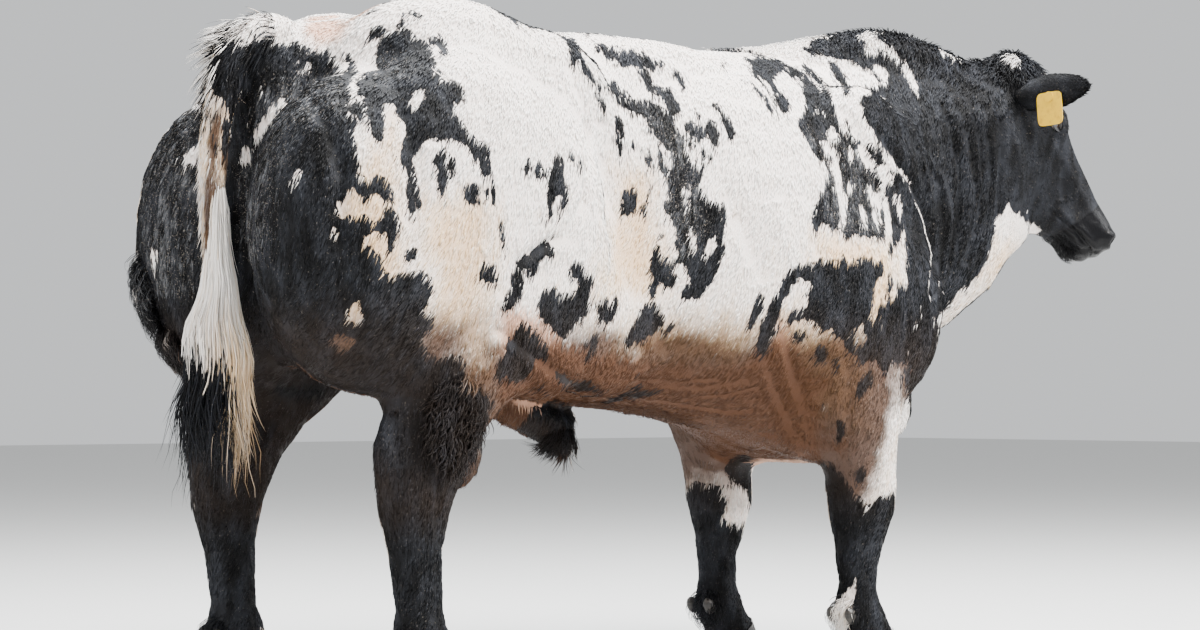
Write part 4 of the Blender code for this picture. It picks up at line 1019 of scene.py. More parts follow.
def welded(name: str) -> Surface:
    """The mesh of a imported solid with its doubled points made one.

    Args:
        name: the node's name.

    Returns:
        The closed surface.
    """
    points, triangles = read_mesh(frame["nodes"][name].data)
    keys = np.round(points / 2e-6).astype(np.int64)
    _, first, back = np.unique(keys, axis=0, return_index=True, return_inverse=True)
    triangles = back.reshape(-1)[triangles]
    good = (triangles[:, 0] != triangles[:, 1]) & (triangles[:, 1] != triangles[:, 2])
    good &= triangles[:, 0] != triangles[:, 2]
    return Surface(points[first], triangles[good])


def make_object(name: str, points: Array, faces: Array, material: bpy.types.Material) -> bpy.types.Object:
    """Makes a smooth mesh object at the origin from arrays.

    Args:
        name: the piece's name.
        points: N by 3 places.
        faces: M by 3 or M by 4 corners.
        material: its material.

    Returns:
        The object.
    """
    mesh = bpy.data.meshes.new(name)
    mesh.vertices.add(len(points))
    mesh.vertices.foreach_set("co", np.ascontiguousarray(points, np.float32).ravel())
    sides = faces.shape[1]
    mesh.loops.add(faces.size)
    mesh.loops.foreach_set("vertex_index", np.ascontiguousarray(faces, np.int32).ravel())
    mesh.polygons.add(len(faces))
    mesh.polygons.foreach_set("loop_start", np.arange(0, faces.size, sides, dtype=np.int32))
    mesh.polygons.foreach_set("use_smooth", np.full(len(faces), True))
    mesh.update(calc_edges=True)
    mesh.materials.append(material)
    piece = bpy.data.objects.new(name, mesh)
    bpy.context.scene.collection.objects.link(piece)
    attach(piece, "root")
    return piece


def shaped(piece: bpy.types.Object) -> bpy.types.Mesh:
    """Returns a new mesh of the object as its modifiers shape it."""
    return bpy.data.meshes.new_from_object(piece.evaluated_get(bpy.context.evaluated_depsgraph_get()))


def settled(piece: bpy.types.Object) -> Surface:
    """Gives the object the mesh that its modifiers shape, and takes the modifiers away.

    Args:
        piece: the object.

    Returns:
        Its new surface.
    """
    made = shaped(piece)
    piece.modifiers.clear()
    piece.vertex_groups.clear()
    old = piece.data
    piece.data = made
    bpy.data.meshes.remove(old)
    made.name = piece.name
    return Surface(*read_mesh(made))


def put_attribute(mesh: bpy.types.Mesh, name: str, values: Array) -> None:
    """Stores one number or one vector for each point of a mesh."""
    kind = "FLOAT" if values.ndim == 1 else "FLOAT_VECTOR"
    attribute = mesh.attributes.new(name, kind, "POINT")
    attribute.data.foreach_set("value" if values.ndim == 1 else "vector",
                               np.ascontiguousarray(values, np.float32).ravel())


def put_colours(mesh: bpy.types.Mesh, colours: Colours, shade: Array, repeat: int = 1) -> None:
    """Stores what the coat shows on the points of a mesh, each value repeated for the points of one tuft."""
    for name in FIELDS:
        put_attribute(mesh, name, np.repeat(getattr(colours, name), repeat, axis=0))
    put_attribute(mesh, "shade", np.repeat(shade, repeat))


def unwrap(points: Array) -> Array:
    """Place of each point on a flat unwrap of the skin: along and round the trunk, the head, the tail or a leg.

    Each part is a tube: u runs along its axis and v is the angle round it, and each tube has its own tile.

    Args:
        points: N by 3 places.

    Returns:
        N by 2 places from 0 to 1.
    """
    x, y, z = points.T
    inner = HEAD.into(points)
    result = np.stack([0.02 + 0.96 * np.clip((x + 1.35) / 2.7, 0, 1),
                       0.47 + 0.50 * (np.arctan2(y - SHIFT[1], z - 1.05) / FULL_TURN + 0.5)], axis=1)
    head = distance_to_path(points, HEAD.out([(0.02, 0, -0.05), (0.46, 0, -0.04)])) < 0.16
    turn = np.arctan2(inner[:, 1], inner[:, 2] + 0.06) / FULL_TURN + 0.5
    down_face = 0.02 + 0.44 * np.clip((inner[:, 0] + 0.15) / 0.75, 0, 1)
    result[head] = np.stack([down_face, 0.25 + 0.19 * turn], 1)[head]
    for index, (cx, cy) in enumerate(((-0.95, 0.30), (-0.85, -0.22), (0.42, 0.26), (0.47, -0.20))):
        leg = (z < 0.62) & (np.hypot(x - cx, y - cy) < 0.30) & ((y > SHIFT[1]) == (cy > SHIFT[1]))
        around = np.arctan2(y - cy, x - cx) / FULL_TURN + 0.5
        result[leg] = np.stack([0.02 + 0.24 * index + 0.21 * around, 0.02 + 0.20 * z / 0.62], 1)[leg]
    tail = distance_to_path(points, TAIL_RUN[:, :3]) < 0.06
    around = np.arctan2(y - SHIFT[1], x + 1.21) / FULL_TURN + 0.5
    result[tail] = np.stack([0.52 + 0.20 * around, 0.25 + 0.19 * np.clip(z / 1.6, 0, 1)], 1)[tail]
    return result


def put_unwrap(mesh: bpy.types.Mesh, places: Array, offsets: Array) -> None:
    """Stores the OFBake map: each tuft's root on the skin's unwrap, plus a small patch of its own."""
    corner = np.empty(len(mesh.loops), np.int32)
    mesh.loops.foreach_get("vertex_index", corner)
    layer = mesh.uv_layers.new(name="OFBake")
    layer.data.foreach_set("uv", np.ascontiguousarray((places + offsets)[corner], np.float32).ravel())


def combed(points: Array, normals: Array) -> Array:
    """Lie of the coat: along the body and down its slopes, back along the spine and down the face.

    Args:
        points: N by 3 places.
        normals: N by 3 unit normals.

    Returns:
        N by 3 unit vectors in the surface.
    """
    wish = np.tile([-0.42, 0.0, -1.0], (len(points), 1))
    inner = HEAD.into(points)
    face = smoothstep(-0.02, 0.10, inner[:, 0]) * smoothstep(0.26, 0.20, np.linalg.norm(inner[:, 1:], axis=1))
    down_face = HEAD.matrix()[:3, 0]
    wish = wish * (1.0 - face[:, None]) + (down_face + np.array([0.0, 0.0, -0.2])) * face[:, None]
    swirl = np.stack([noise(points, 5.0, seed) for seed in (51, 52, 53)], axis=1)
    wish = wish + swirl * 0.30
    return unit(flattened(wish, normals))


class Sight:
    """Finds places of the skin along the camera's lines of sight."""

    def __init__(self, surface: Surface):
        """Builds the search tree over the skin."""
        self.tree = BVHTree.FromPolygons(surface.points.tolist(), surface.triangles.tolist())

    def cast(self, pixels: Array, distance: float = 5.0) -> list[Vector | None]:
        """First places of the skin at the pixels.

        Args:
            pixels: N by 2 places in the picture.
            distance: a distance forward that aims the rays.

        Returns:
            N places, None where the skin isn't met.
        """
        origin = VIEW.position()
        return [self.tree.ray_cast(Vector(origin), Vector(target - origin).normalized())[0]
                for target in VIEW.at_depth(pixels, np.full(len(pixels), distance))]

    def nearest(self, point: Array) -> Array:
        """Returns the place of the skin nearest to a point."""
        return np.array(self.tree.find_nearest(Vector(point))[0])

    def hit(self, x: float, y: float, distance: float = 5.6) -> Array:
        """The skin at a pixel, or the skin nearest to the line of sight at the animal's distance.

        Args:
            x: pixel across.
            y: pixel down.
            distance: the animal's distance forward there.

        Returns:
            The place.
        """
        pixel = np.array([[x, y]])
        found = self.cast(pixel, distance)[0]
        if found is not None:
            return np.array(found)
        return self.nearest(VIEW.at_depth(pixel, np.array([distance]))[0])


@dataclass(frozen=True)
class Crease:
    """A drawn crease of the skin, or a fold where the depth is below 0."""

    depth: float
    half_width: float
    both_sides: bool
    corners: Array


def drawn_creases(text: str) -> tuple[Crease, ...]:
    """Reads creases, one a line: B for both sides or R for the right, depth, half width and the corners.

    Args:
        text: the creases; depth and half width are tenths of a millimetre, and the corners are pixels.

    Returns:
        The creases in their order.
    """
    rows = (line.split(maxsplit=3) for line in text.strip().splitlines())
    return tuple(Crease(int(depth) / 1e4, int(half) / 1e4, side == "B", corners(line))
                 for side, depth, half, line in rows)


CREASES = drawn_creases("""
B 100 160 572,66 588,110 592,160 588,200 570,236 546,246 522,262 508,292 502,330
B 60 300 606,100 604,150 610,200 606,250
B 70 300 726,180 734,210 750,240 762,270 764,300
B 50 180 800,180 812,210 812,240 806,262 790,290
B 100 160 880,130 900,160 918,190 930,220 936,260 934,300 924,330
B -60 120 926,150 944,180 950,220 946,270 938,300
B 60 140 960,110 972,150 978,200 972,250 958,288
B 90 130 1000,104 1004,140 1002,180 1000,214 992,244
B 40 120 984,90 990,130 990,170 986,210
B 40 150 940,90 950,120 958,160
R 50 200 276,66 262,110 248,150 240,200 240,250 256,290 276,320 300,346
R 40 200 352,40 350,90 344,140 340,200 340,250 350,290 356,330
R 40 220 470,30 484,80 488,130 482,190 466,240 452,290
R 30 160 540,60 548,100 544,150 534,200
R -30 200 520,50 528,100 522,150 510,200
B 40 140 610,378 650,386 700,390 740,384 770,372
B 40 120 640,400 690,408 730,414 770,410
B 60 160 780,320 790,350 800,390 812,430
B 40 140 770,360 776,390 790,420 800,446
R 50 180 846,340 850,380 848,420 846,450
R 40 120 502,330 530,352 556,370 590,392
R 40 140 396,400 392,430 396,460
R 40 120 440,420 436,450 440,490 440,540
R 40 140 226,420 222,460 224,500 226,540
B 30 100 1046,140 1040,180 1030,214
B 40 120 1020,90 1030,104 1036,120
B 60 80 944,100 956,140 962,180 960,220 950,262 936,296
B -50 100 954,96 966,140 972,190 968,230 956,270
B 60 80 972,96 982,140 986,180 982,220 970,262
B -50 90 982,100 994,140 997,180 992,212
B 60 90 918,96 932,140 938,180
B -50 120 908,110 922,150 932,200 932,250
B 40 120 1056,128 1062,150 1064,180 1060,210
B -40 140 1016,130 1022,160 1020,195
B 40 70 1044,236 1060,244 1080,250 1098,252
B 30 80 1068,214 1078,226 1080,240
B -30 100 1050,250 1064,258 1080,262
R 50 180 846,110 866,150 880,190 884,240 872,290
R -50 220 826,120 846,160 856,210 850,260
R 50 160 806,150 812,190 822,230 818,270
R -60 300 768,180 782,230 790,260
R 50 180 300,90 330,130 342,180 340,240
R -40 300 290,150 300,210 310,270
R 40 200 400,90 412,140 416,190 404,240
R -40 240 430,120 438,180 430,240
R 40 100 640,380 680,384 720,380
R 30 80 690,400 730,396 760,388
""")

# The line of the mouth, in the head's own frame
MOUTH_REACHES = (0.36, 0.40, 0.45, 0.49, 0.53)
MOUTH_LEVELS = (-0.100, -0.088, -0.078, -0.070, -0.066)


@dataclass
class Skin:
    """The whole hide as one seamless skin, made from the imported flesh."""

    flesh: tuple = ("torso", "neck", "head", "hindquarter_left", "hindquarter_right", "hind_leg_left",
                    "hind_leg_right", "fore_leg_left", "fore_leg_right", "tail_upper", "tail_lower", "sheath",
                    "scrotum")
    voxel: float = 0.005
    coat_depth: float = 0.0045
    crease_gain: float = 1.3
    most_triangles: int = 192000

    def fused(self) -> Surface:
        """Joins the flesh, grown a little so that the thin cuts close, into one even mesh.

        Returns:
            The surface after a voxel remesh.
        """
        points, triangles, start = [], [], 0
        for name in self.flesh:
            surface = welded(name)
            points.append(surface.points + surface.normals * 0.0012)
            triangles.append(surface.triangles + start)
            start += len(surface.points)
        web = self.web()
        points.append(web.points)
        triangles.append(web.triangles + start)
        mesh = bpy.data.meshes.new("flesh")
        mesh.from_pydata(np.vstack(points).tolist(), [], np.vstack(triangles).tolist())
        piece = bpy.data.objects.new("flesh", mesh)
        bpy.context.scene.collection.objects.link(piece)
        remesh = piece.modifiers.new("remesh", "REMESH")
        remesh.mode = "VOXEL"
        remesh.voxel_size = self.voxel * 1.0
        result = Surface(*read_mesh(shaped(piece)))
        bpy.data.objects.remove(piece)
        return result

    def web(self) -> Surface:
        """Makes the fold that joins the sheath to the belly: a flat ball, cos and sin of the two angles.

        Returns:
            The closed surface.
        """
        low, high = (np.array(corner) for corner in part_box("sheath"))
        spokes, rings = 40, 20
        u, v = np.meshgrid(np.arange(spokes) / spokes * FULL_TURN, np.linspace(0.0, math.pi, rings + 2)[1:-1])
        ball = np.stack([np.cos(u) * np.sin(v), np.sin(u) * np.sin(v), np.cos(v)], axis=2).reshape(-1, 3)
        ball = np.vstack([ball, [0, 0, 1.0], [0, 0, -1.0]])
        size = high - low
        centre = (low + high) / 2.0 + size * np.array([0.02, 0.0, 0.18])
        turn = np.array(Matrix.Rotation(math.radians(16), 3, "Y"))
        points = (ball * np.array([size[0] * 0.50, size[1] * 0.36, size[2] * 0.34])) @ turn.T + centre
        k = np.arange(spokes)
        n = (k + 1) % spokes
        starts = np.arange(rings - 1)[:, None] * spokes
        ring, after = (starts + k).ravel(), (starts + n).ravel()
        top = np.full(spokes, rings * spokes)
        last = (rings - 1) * spokes
        faces = [np.stack([ring, ring + spokes, after], 1), np.stack([after, ring + spokes, after + spokes], 1),
                 np.stack([top, k, n], 1), np.stack([top + 1, last + n, last + k], 1)]
        return Surface(points, np.vstack(faces))

    def relaxed(self, surface: Surface, rounds: int, weights: Array) -> Surface:
        """Smooths by turns: each point moves toward the mean of its neighbours and then a little further back.

        Args:
            surface: what is smoothed.
            rounds: how many turns.
            weights: share of the move for each point.

        Returns:
            The smoothed surface.
        """
        sides = np.vstack([surface.triangles[:, pair] for pair in ([0, 1], [1, 2], [2, 0])])
        sides = sides[sides[:, 0] < sides[:, 1]]
        a, b = sides.T
        size = len(surface.points)
        count = np.bincount(a, minlength=size) + np.bincount(b, minlength=size)
        points = surface.points.copy()
        for turn in range(rounds * 2):
            share = (0.60 if turn % 2 == 0 else -0.61) * weights
            for axis in range(3):
                column = points[:, axis]
                total = np.bincount(a, column[b], size) + np.bincount(b, column[a], size)
                points[:, axis] = column + share * (total / np.maximum(count, 1) - column)
        return Surface(points, surface.triangles)

    def creases(self, surface: Surface) -> Array:
        """Height of the drawn creases: minus the depth times the bell curve of the distance to each line.

        The corners of a line are found on the skin along the camera's sight, and mirrored for the far side.

        Args:
            surface: the smooth skin.

        Returns:
            How far each point moves along its normal.
        """
        sight = Sight(surface)
        height = np.zeros(len(surface.points))
        for crease in CREASES:
            pixels, width = crease.corners, crease.half_width
            parts = np.linspace(0, len(pixels) - 1, (len(pixels) - 1) * 4 + 1)
            index = np.minimum(parts.astype(int), len(pixels) - 2)
            pixels = pixels[index] + (parts - index)[:, None] * (pixels[index + 1] - pixels[index])
            line = np.array([tuple(place) for place in sight.cast(pixels) if place is not None])
            if len(line) < 3:
                continue
            lines = [line]
            if crease.both_sides:
                lines.append(np.array([sight.nearest(point) for point in mirrored(line)]))
            for run in lines:
                low, high = run.min(axis=0) - 3.5 * width, run.max(axis=0) + 3.5 * width
                near = np.nonzero(np.all((surface.points > low) & (surface.points < high), axis=1))[0]
                chosen = surface.points[near]
                gap = distance_to_path(chosen, run)
                ends = np.linspace(0.0, 1.0, len(run))[::3]
                nearest = np.argmin(np.linalg.norm(chosen[:, None] - run[None, ::3], axis=2), axis=1)
                fade = np.sin(math.pi * np.clip(ends[nearest], 0.06, 0.94)) ** 0.6
                height[near] -= self.crease_gain * crease.depth * fade * bell(gap, width)
        return height

    def face_forms(self, points: Array) -> Array:
        """Height of the mouth line and lips, nostrils, lip cleft, cheek hollow and the folds round the eyes.

        Each form is a bell curve of the distance to its line or middle, in the head's own frame.

        Args:
            points: N by 3 places.

        Returns:
            How far each point moves along its normal.
        """
        x, y, z = HEAD.into(points).T
        out = np.abs(y)
        line = z - np.interp(x, MOUTH_REACHES, MOUTH_LEVELS)
        mouth = smoothstep(0.350, 0.380, x) * smoothstep(0.16, 0.12, out)
        lips = 0.0035 * bell(line - 0.015, 0.009) + 0.003 * bell(line + 0.014, 0.008)
        height = mouth * (lips - 0.0055 * bell(line, 0.0038))
        hole = np.sqrt((x - 0.505) ** 2 + ((out - 0.050) * 0.8) ** 2 + ((z + 0.006) * 1.3) ** 2)
        height += 0.0040 * bell(hole - 0.026, 0.008) - 0.006 * bell(hole, 0.012)
        front = smoothstep(0.46, 0.49, x) * smoothstep(0.02, 0.0, z)
        height -= 0.0022 * front * bell(y, 0.003)
        side = smoothstep(0.20, 0.27, x) * smoothstep(0.43, 0.37, x) * smoothstep(0.02, 0.05, out)
        height += side * (0.0035 * bell(z + 0.012, 0.010) - 0.0040 * bell(z + 0.045, 0.020))
        eye = np.hypot(x - EYE_IN_HEAD[0], z - EYE_IN_HEAD[2])
        near_eye = smoothstep(0.05, 0.07, out) * smoothstep(0.02, 0.06, x)
        wrinkles = 0.0014 * np.cos(eye * 900.0) * bell(eye - 0.036, 0.012)
        brow = 0.0030 * bell(eye - 0.040, 0.012) * smoothstep(0.0, 0.02, z)
        return height + near_eye * (wrinkles + brow)

    def build(self, material: bpy.types.Material, markings: Markings) -> tuple[bpy.types.Object, Surface]:
        """Makes the skin.

        Args:
            material: the skin's material.
            markings: what lays the colours.

        Returns:
            The object and its surface.
        """
        surface = self.fused()
        LOG.info("fused flesh: %d triangles", len(surface.triangles))
        head = HEAD.into(surface.points)
        face = smoothstep(0.06, 0.14, head[:, 0]) * smoothstep(0.30, 0.24, np.linalg.norm(head[:, 1:], axis=1))
        down_face = HEAD.out([(0.05, 0, 0), (0.5, 0, 0)])
        face = face * smoothstep(0.30, 0.16, distance_to_path(surface.points, down_face))
        surface = self.relaxed(surface, 30, 1.0 - 0.8 * face)
        points, normals = surface.points, surface.normals
        height = self.creases(surface) + self.face_forms(points) - self.coat_depth
        height += 0.0012 * soft_noise(points, 22.0, 61) + 0.0016 * soft_noise(points, (9.0, 9.0, 5.0), 62)
        height += 0.0007 * (1.0 - face) * soft_noise(points, (60.0, 60.0, 34.0), 63, 2)
        surface = Surface(points + normals * height[:, None], surface.triangles)
        piece = make_object("skin", surface.points, surface.triangles, material)
        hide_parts(*self.flesh)
        if len(surface.triangles) > self.most_triangles:
            group = piece.vertex_groups.new(name="keep")
            keep = 1.0 - 0.75 * face
            for level in np.unique(np.round(keep, 1)):
                chosen = np.nonzero(np.round(keep, 1) == level)[0]
                group.add(chosen.tolist(), float(level), "REPLACE")
            thin = piece.modifiers.new("thin", "DECIMATE")
            thin.ratio = self.most_triangles / len(surface.triangles)
            thin.vertex_group = "keep"
            thin.use_collapse_triangulate = True
            surface = settled(piece)
            piece.data.polygons.foreach_set("use_smooth", np.full(len(piece.data.polygons), True))
        colours = markings.lay_with_tail(surface.points, surface.normals)
        put_colours(piece.data, colours, np.zeros(len(surface.points)))
        LOG.info("skin: %d triangles", len(surface.triangles))
        return piece, surface


@dataclass
class ShortCoat:
    """Short flat hair in tufts all over the skin: closed blades of four triangles that overlap."""

    tufts: int = 220000
    length: float = 0.0195
    width: float = 0.0041
    sink: float = 0.0012
    most_in_piece: int = 48000
    socket_radius: float = 0.026

    def sizes(self, points: Array) -> tuple[Array, Array]:
        """Length and density of the tufts: shortest and densest on the face and the feet, longest on the crest.

        Args:
            points: N by 3 places.

        Returns:
            N factors of the length and N factors of the density.
        """
        inner = HEAD.into(points)
        down = inner[:, 0]
        face = smoothstep(0.02, 0.12, down) * smoothstep(0.30, 0.22, np.linalg.norm(inner[:, 1:], axis=1))
        muzzle = smoothstep(0.36, 0.42, down) * face
        x, _, z = points.T
        feet = smoothstep(0.30, 0.10, z)
        crest = smoothstep(0.45, 0.75, x) * smoothstep(1.36, 1.46, z) * (1.0 - face)
        length = 1.0 - 0.52 * face - 0.40 * feet + 0.5 * crest
        density = 1.0 + 1.3 * face + 0.5 * feet
        bare_nose = 0.96 * smoothstep(0.42, 0.455, down) * face
        return length * (1.0 - 0.5 * muzzle), density * (1.0 - bare_nose)

    def build(self, surface: Surface, material: bpy.types.Material,
              markings: Markings) -> list[bpy.types.Object]:
        """Makes the coat of the whole skin, in pieces by region.

        Args:
            surface: the skin.
            material: the hair's material.
            markings: what lays the colours.

        Returns:
            The pieces.
        """
        rng = np.random.default_rng(SEED)
        centre = surface.points[surface.triangles].mean(axis=1)
        _, density = self.sizes(centre)
        eyes = HEAD.into(centre)
        socket = np.hypot(eyes[:, 0] - EYE_IN_HEAD[0], eyes[:, 2] - EYE_IN_HEAD[2]) / self.socket_radius
        density = density * np.where((socket < 1.0) & (np.abs(eyes[:, 1]) > 0.07) & (eyes[:, 0] > 0), 0.0, 1.0)
        count = thinned(self.tufts)
        roots, normals = surface.scatter(count, rng, density)
        factor, _ = self.sizes(roots)
        colours = markings.lay_with_tail(roots, normals)
        order = np.argsort(roots[:, 0] + 6.0 * (roots[:, 1] > SHIFT[1]), kind="stable")
        pieces = []
        for number, chosen in enumerate(np.array_split(order, max(1, math.ceil(count / self.most_in_piece)))):
            flow = combed(roots[chosen], normals[chosen])
            pieces.append(self.piece(f"coat_{number + 1}", roots[chosen], normals[chosen], factor[chosen], flow,
                                     colours.chosen(chosen), material, rng))
        LOG.info("short coat: %d tufts in %d pieces", count, len(pieces))
        return pieces

    def piece(self, name: str, roots: Array, normals: Array, factor: Array, flow: Array, colours: Colours,
              material: bpy.types.Material, rng: np.random.Generator) -> bpy.types.Object:
        """Makes one piece of coat: each tuft has two points at the root, one on its ridge and one at its tip.

        Args:
            name: the piece's name.
            roots: N by 3 places on the skin.
            normals: N by 3 unit normals there.
            factor: N factors of the length.
            flow: N by 3 unit vectors of the lie.
            colours: what the coat shows at the roots.
            material: the hair's material.
            rng: source of random numbers.

        Returns:
            The object.
        """
        count = len(roots)
        length = self.length * factor * rng.uniform(0.65, 1.35, count)
        width = self.width * rng.uniform(0.7, 1.3, count) * 1.0
        width = width * np.sqrt(length / self.length)
        side = np.cross(normals, flow)
        flow = unit(flow + side * rng.normal(0.0, 0.10, count)[:, None])
        side = np.cross(normals, flow)
        rise = length * rng.uniform(0.035, 0.075, count)
        tip = length * rng.uniform(0.01, 0.06, count)
        sunk = roots - normals * self.sink
        points = np.stack([
            sunk - side * (width / 2)[:, None],
            sunk + side * (width / 2)[:, None],
            roots + flow * (length * 0.42)[:, None] + normals * rise[:, None],
            roots + flow * length[:, None] + normals * tip[:, None],
        ], axis=1)
        faces = np.array([(0, 3, 2), (3, 1, 2), (1, 0, 2), (0, 1, 3)])
        corner = (faces[None] + 4 * np.arange(count)[:, None, None]).reshape(-1, 3)
        piece = make_object(name, points.reshape(-1, 3), corner, material)
        put_colours(piece.data, colours, rng.normal(0.0, 1.0, count), 4)
        patch = np.array([(0.0, 0.0), (0.003, 0.0), (0.0015, 0.0015), (0.0015, 0.003)])
        put_unwrap(piece.data, np.repeat(unwrap(roots), 4, axis=0), np.tile(patch, (count, 1)))
        return piece


@dataclass
class Ear:
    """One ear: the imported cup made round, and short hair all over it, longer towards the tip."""

    side: str
    tufts: int = 7000

    def build(self, skin: bpy.types.Material, hair: bpy.types.Material, markings: Markings) -> None:
        """Makes the ear's pieces.

        The hair lies from the root of the ear to its tip.

        Args:
            skin: the skin's material.
            hair: the hair's material.
            markings: what lays the colours.
        """
        rng = np.random.default_rng(SEED + len(self.side))
        piece, surface = Refined(f"ear_{self.side}", "hide", 1).build(skin)
        colours = markings.lay(surface.points, surface.normals)
        colours.dark = np.full(len(surface.points), DARK)
        put_colours(piece.data, colours, np.zeros(len(surface.points)))
        sign = sign_of(self.side)
        count = thinned(self.tufts)
        roots, normals = surface.scatter(count, rng)
        outward = HEAD.matrix()[:3, :3] @ np.array([0.0, sign, 0.10])
        wish = np.tile(outward, (count, 1)) + rng.normal(0.0, 0.12, (count, 3))
        flow = unit(flattened(wish, normals))
        colours = markings.lay(roots, normals)
        colours.dark = np.full(count, DARK)
        reach = HEAD.into(roots)[:, 1] * sign
        factor = 0.38 + 0.30 * smoothstep(0.16, 0.30, reach)
        ShortCoat().piece(f"ear_coat_{self.side}", roots, normals, factor, flow, colours, hair, rng)


@dataclass
class Locks:
    """Longer hair as flat tapered locks that bend along paths."""

    name: str
    slot: str = "tail_hair"

    def build(self, paths: Array, side: Array, width: Array, thickness: Array, colours: Colours, shade: Array,
              material: bpy.types.Material) -> bpy.types.Object:
        """Carries a diamond section along each path and closes it in a point.

        Args:
            paths: N by S by 3 places along each lock.
            side: N by S by 3 unit vectors across each lock.
            width: N half widths at the widest.
            thickness: N half thicknesses at the widest.
            colours: what the coat shows at each lock's sections, N times S long.
            shade: N random shades.
            material: the hair's material.

        Returns:
            The object.
        """
        count, sections, _ = paths.shape
        along = np.gradient(paths, axis=1)
        up = unit(np.cross(along, side))
        t = np.linspace(0.0, 1.0, sections)
        profile = np.minimum(1.0, 0.55 + 2.0 * t) * (1.0 - t**2.2)
        half = width[:, None] * profile
        thick = thickness[:, None] * profile
        ring = np.stack([paths + side * half[..., None], paths + up * thick[..., None],
                         paths - side * half[..., None], paths - up * thick[..., None]], axis=2)
        body = ring[:, :-1].reshape(count, -1, 3)
        points = np.concatenate([body, paths[:, -1:, :]], axis=1)
        per = points.shape[1]
        faces = []
        for step in range(sections - 2):
            for k in range(4):
                a, b = step * 4 + k, step * 4 + (k + 1) % 4
                faces += [(a, a + 4, b + 4), (a, b + 4, b)]
        last = (sections - 2) * 4
        faces += [(last + k, per - 1, last + (k + 1) % 4) for k in range(4)]
        faces += [(0, 1, 2), (0, 2, 3)]
        faces = np.array(faces)
        a, b, c = (points[0][faces[0, k]] for k in range(3))
        middle = paths[0, :2].mean(axis=0)
        if np.dot(np.cross(b - a, c - a), (a + b + c) / 3.0 - middle) < 0.0:
            faces = faces[:, ::-1]
        corner = (faces[None] + per * np.arange(count)[:, None, None]).reshape(-1, 3)
        piece = make_object(self.name, points.reshape(-1, 3), corner, material)
        index = np.concatenate([np.repeat(np.arange(sections - 1), 4), [sections - 1]])
        for name in FIELDS:
            values = getattr(colours, name)
            values = values.reshape(count, sections, -1)[:, index].reshape(count * per, -1)
            put_attribute(piece.data, name, values[:, 0] if values.shape[1] == 1 else values)
        put_attribute(piece.data, "shade", np.repeat(shade, per))
        places = np.repeat(unwrap(paths[:, 0]), per, axis=0)
        patch = np.stack([np.tile(np.arange(per) % 4, count) / 3.0, np.repeat(index[None], count, 0).ravel()
                          / sections], axis=1) * 0.003
        put_unwrap(piece.data, places, patch)
        LOG.info("%s: %d locks, %d triangles", self.name, count, len(corner))
        return piece


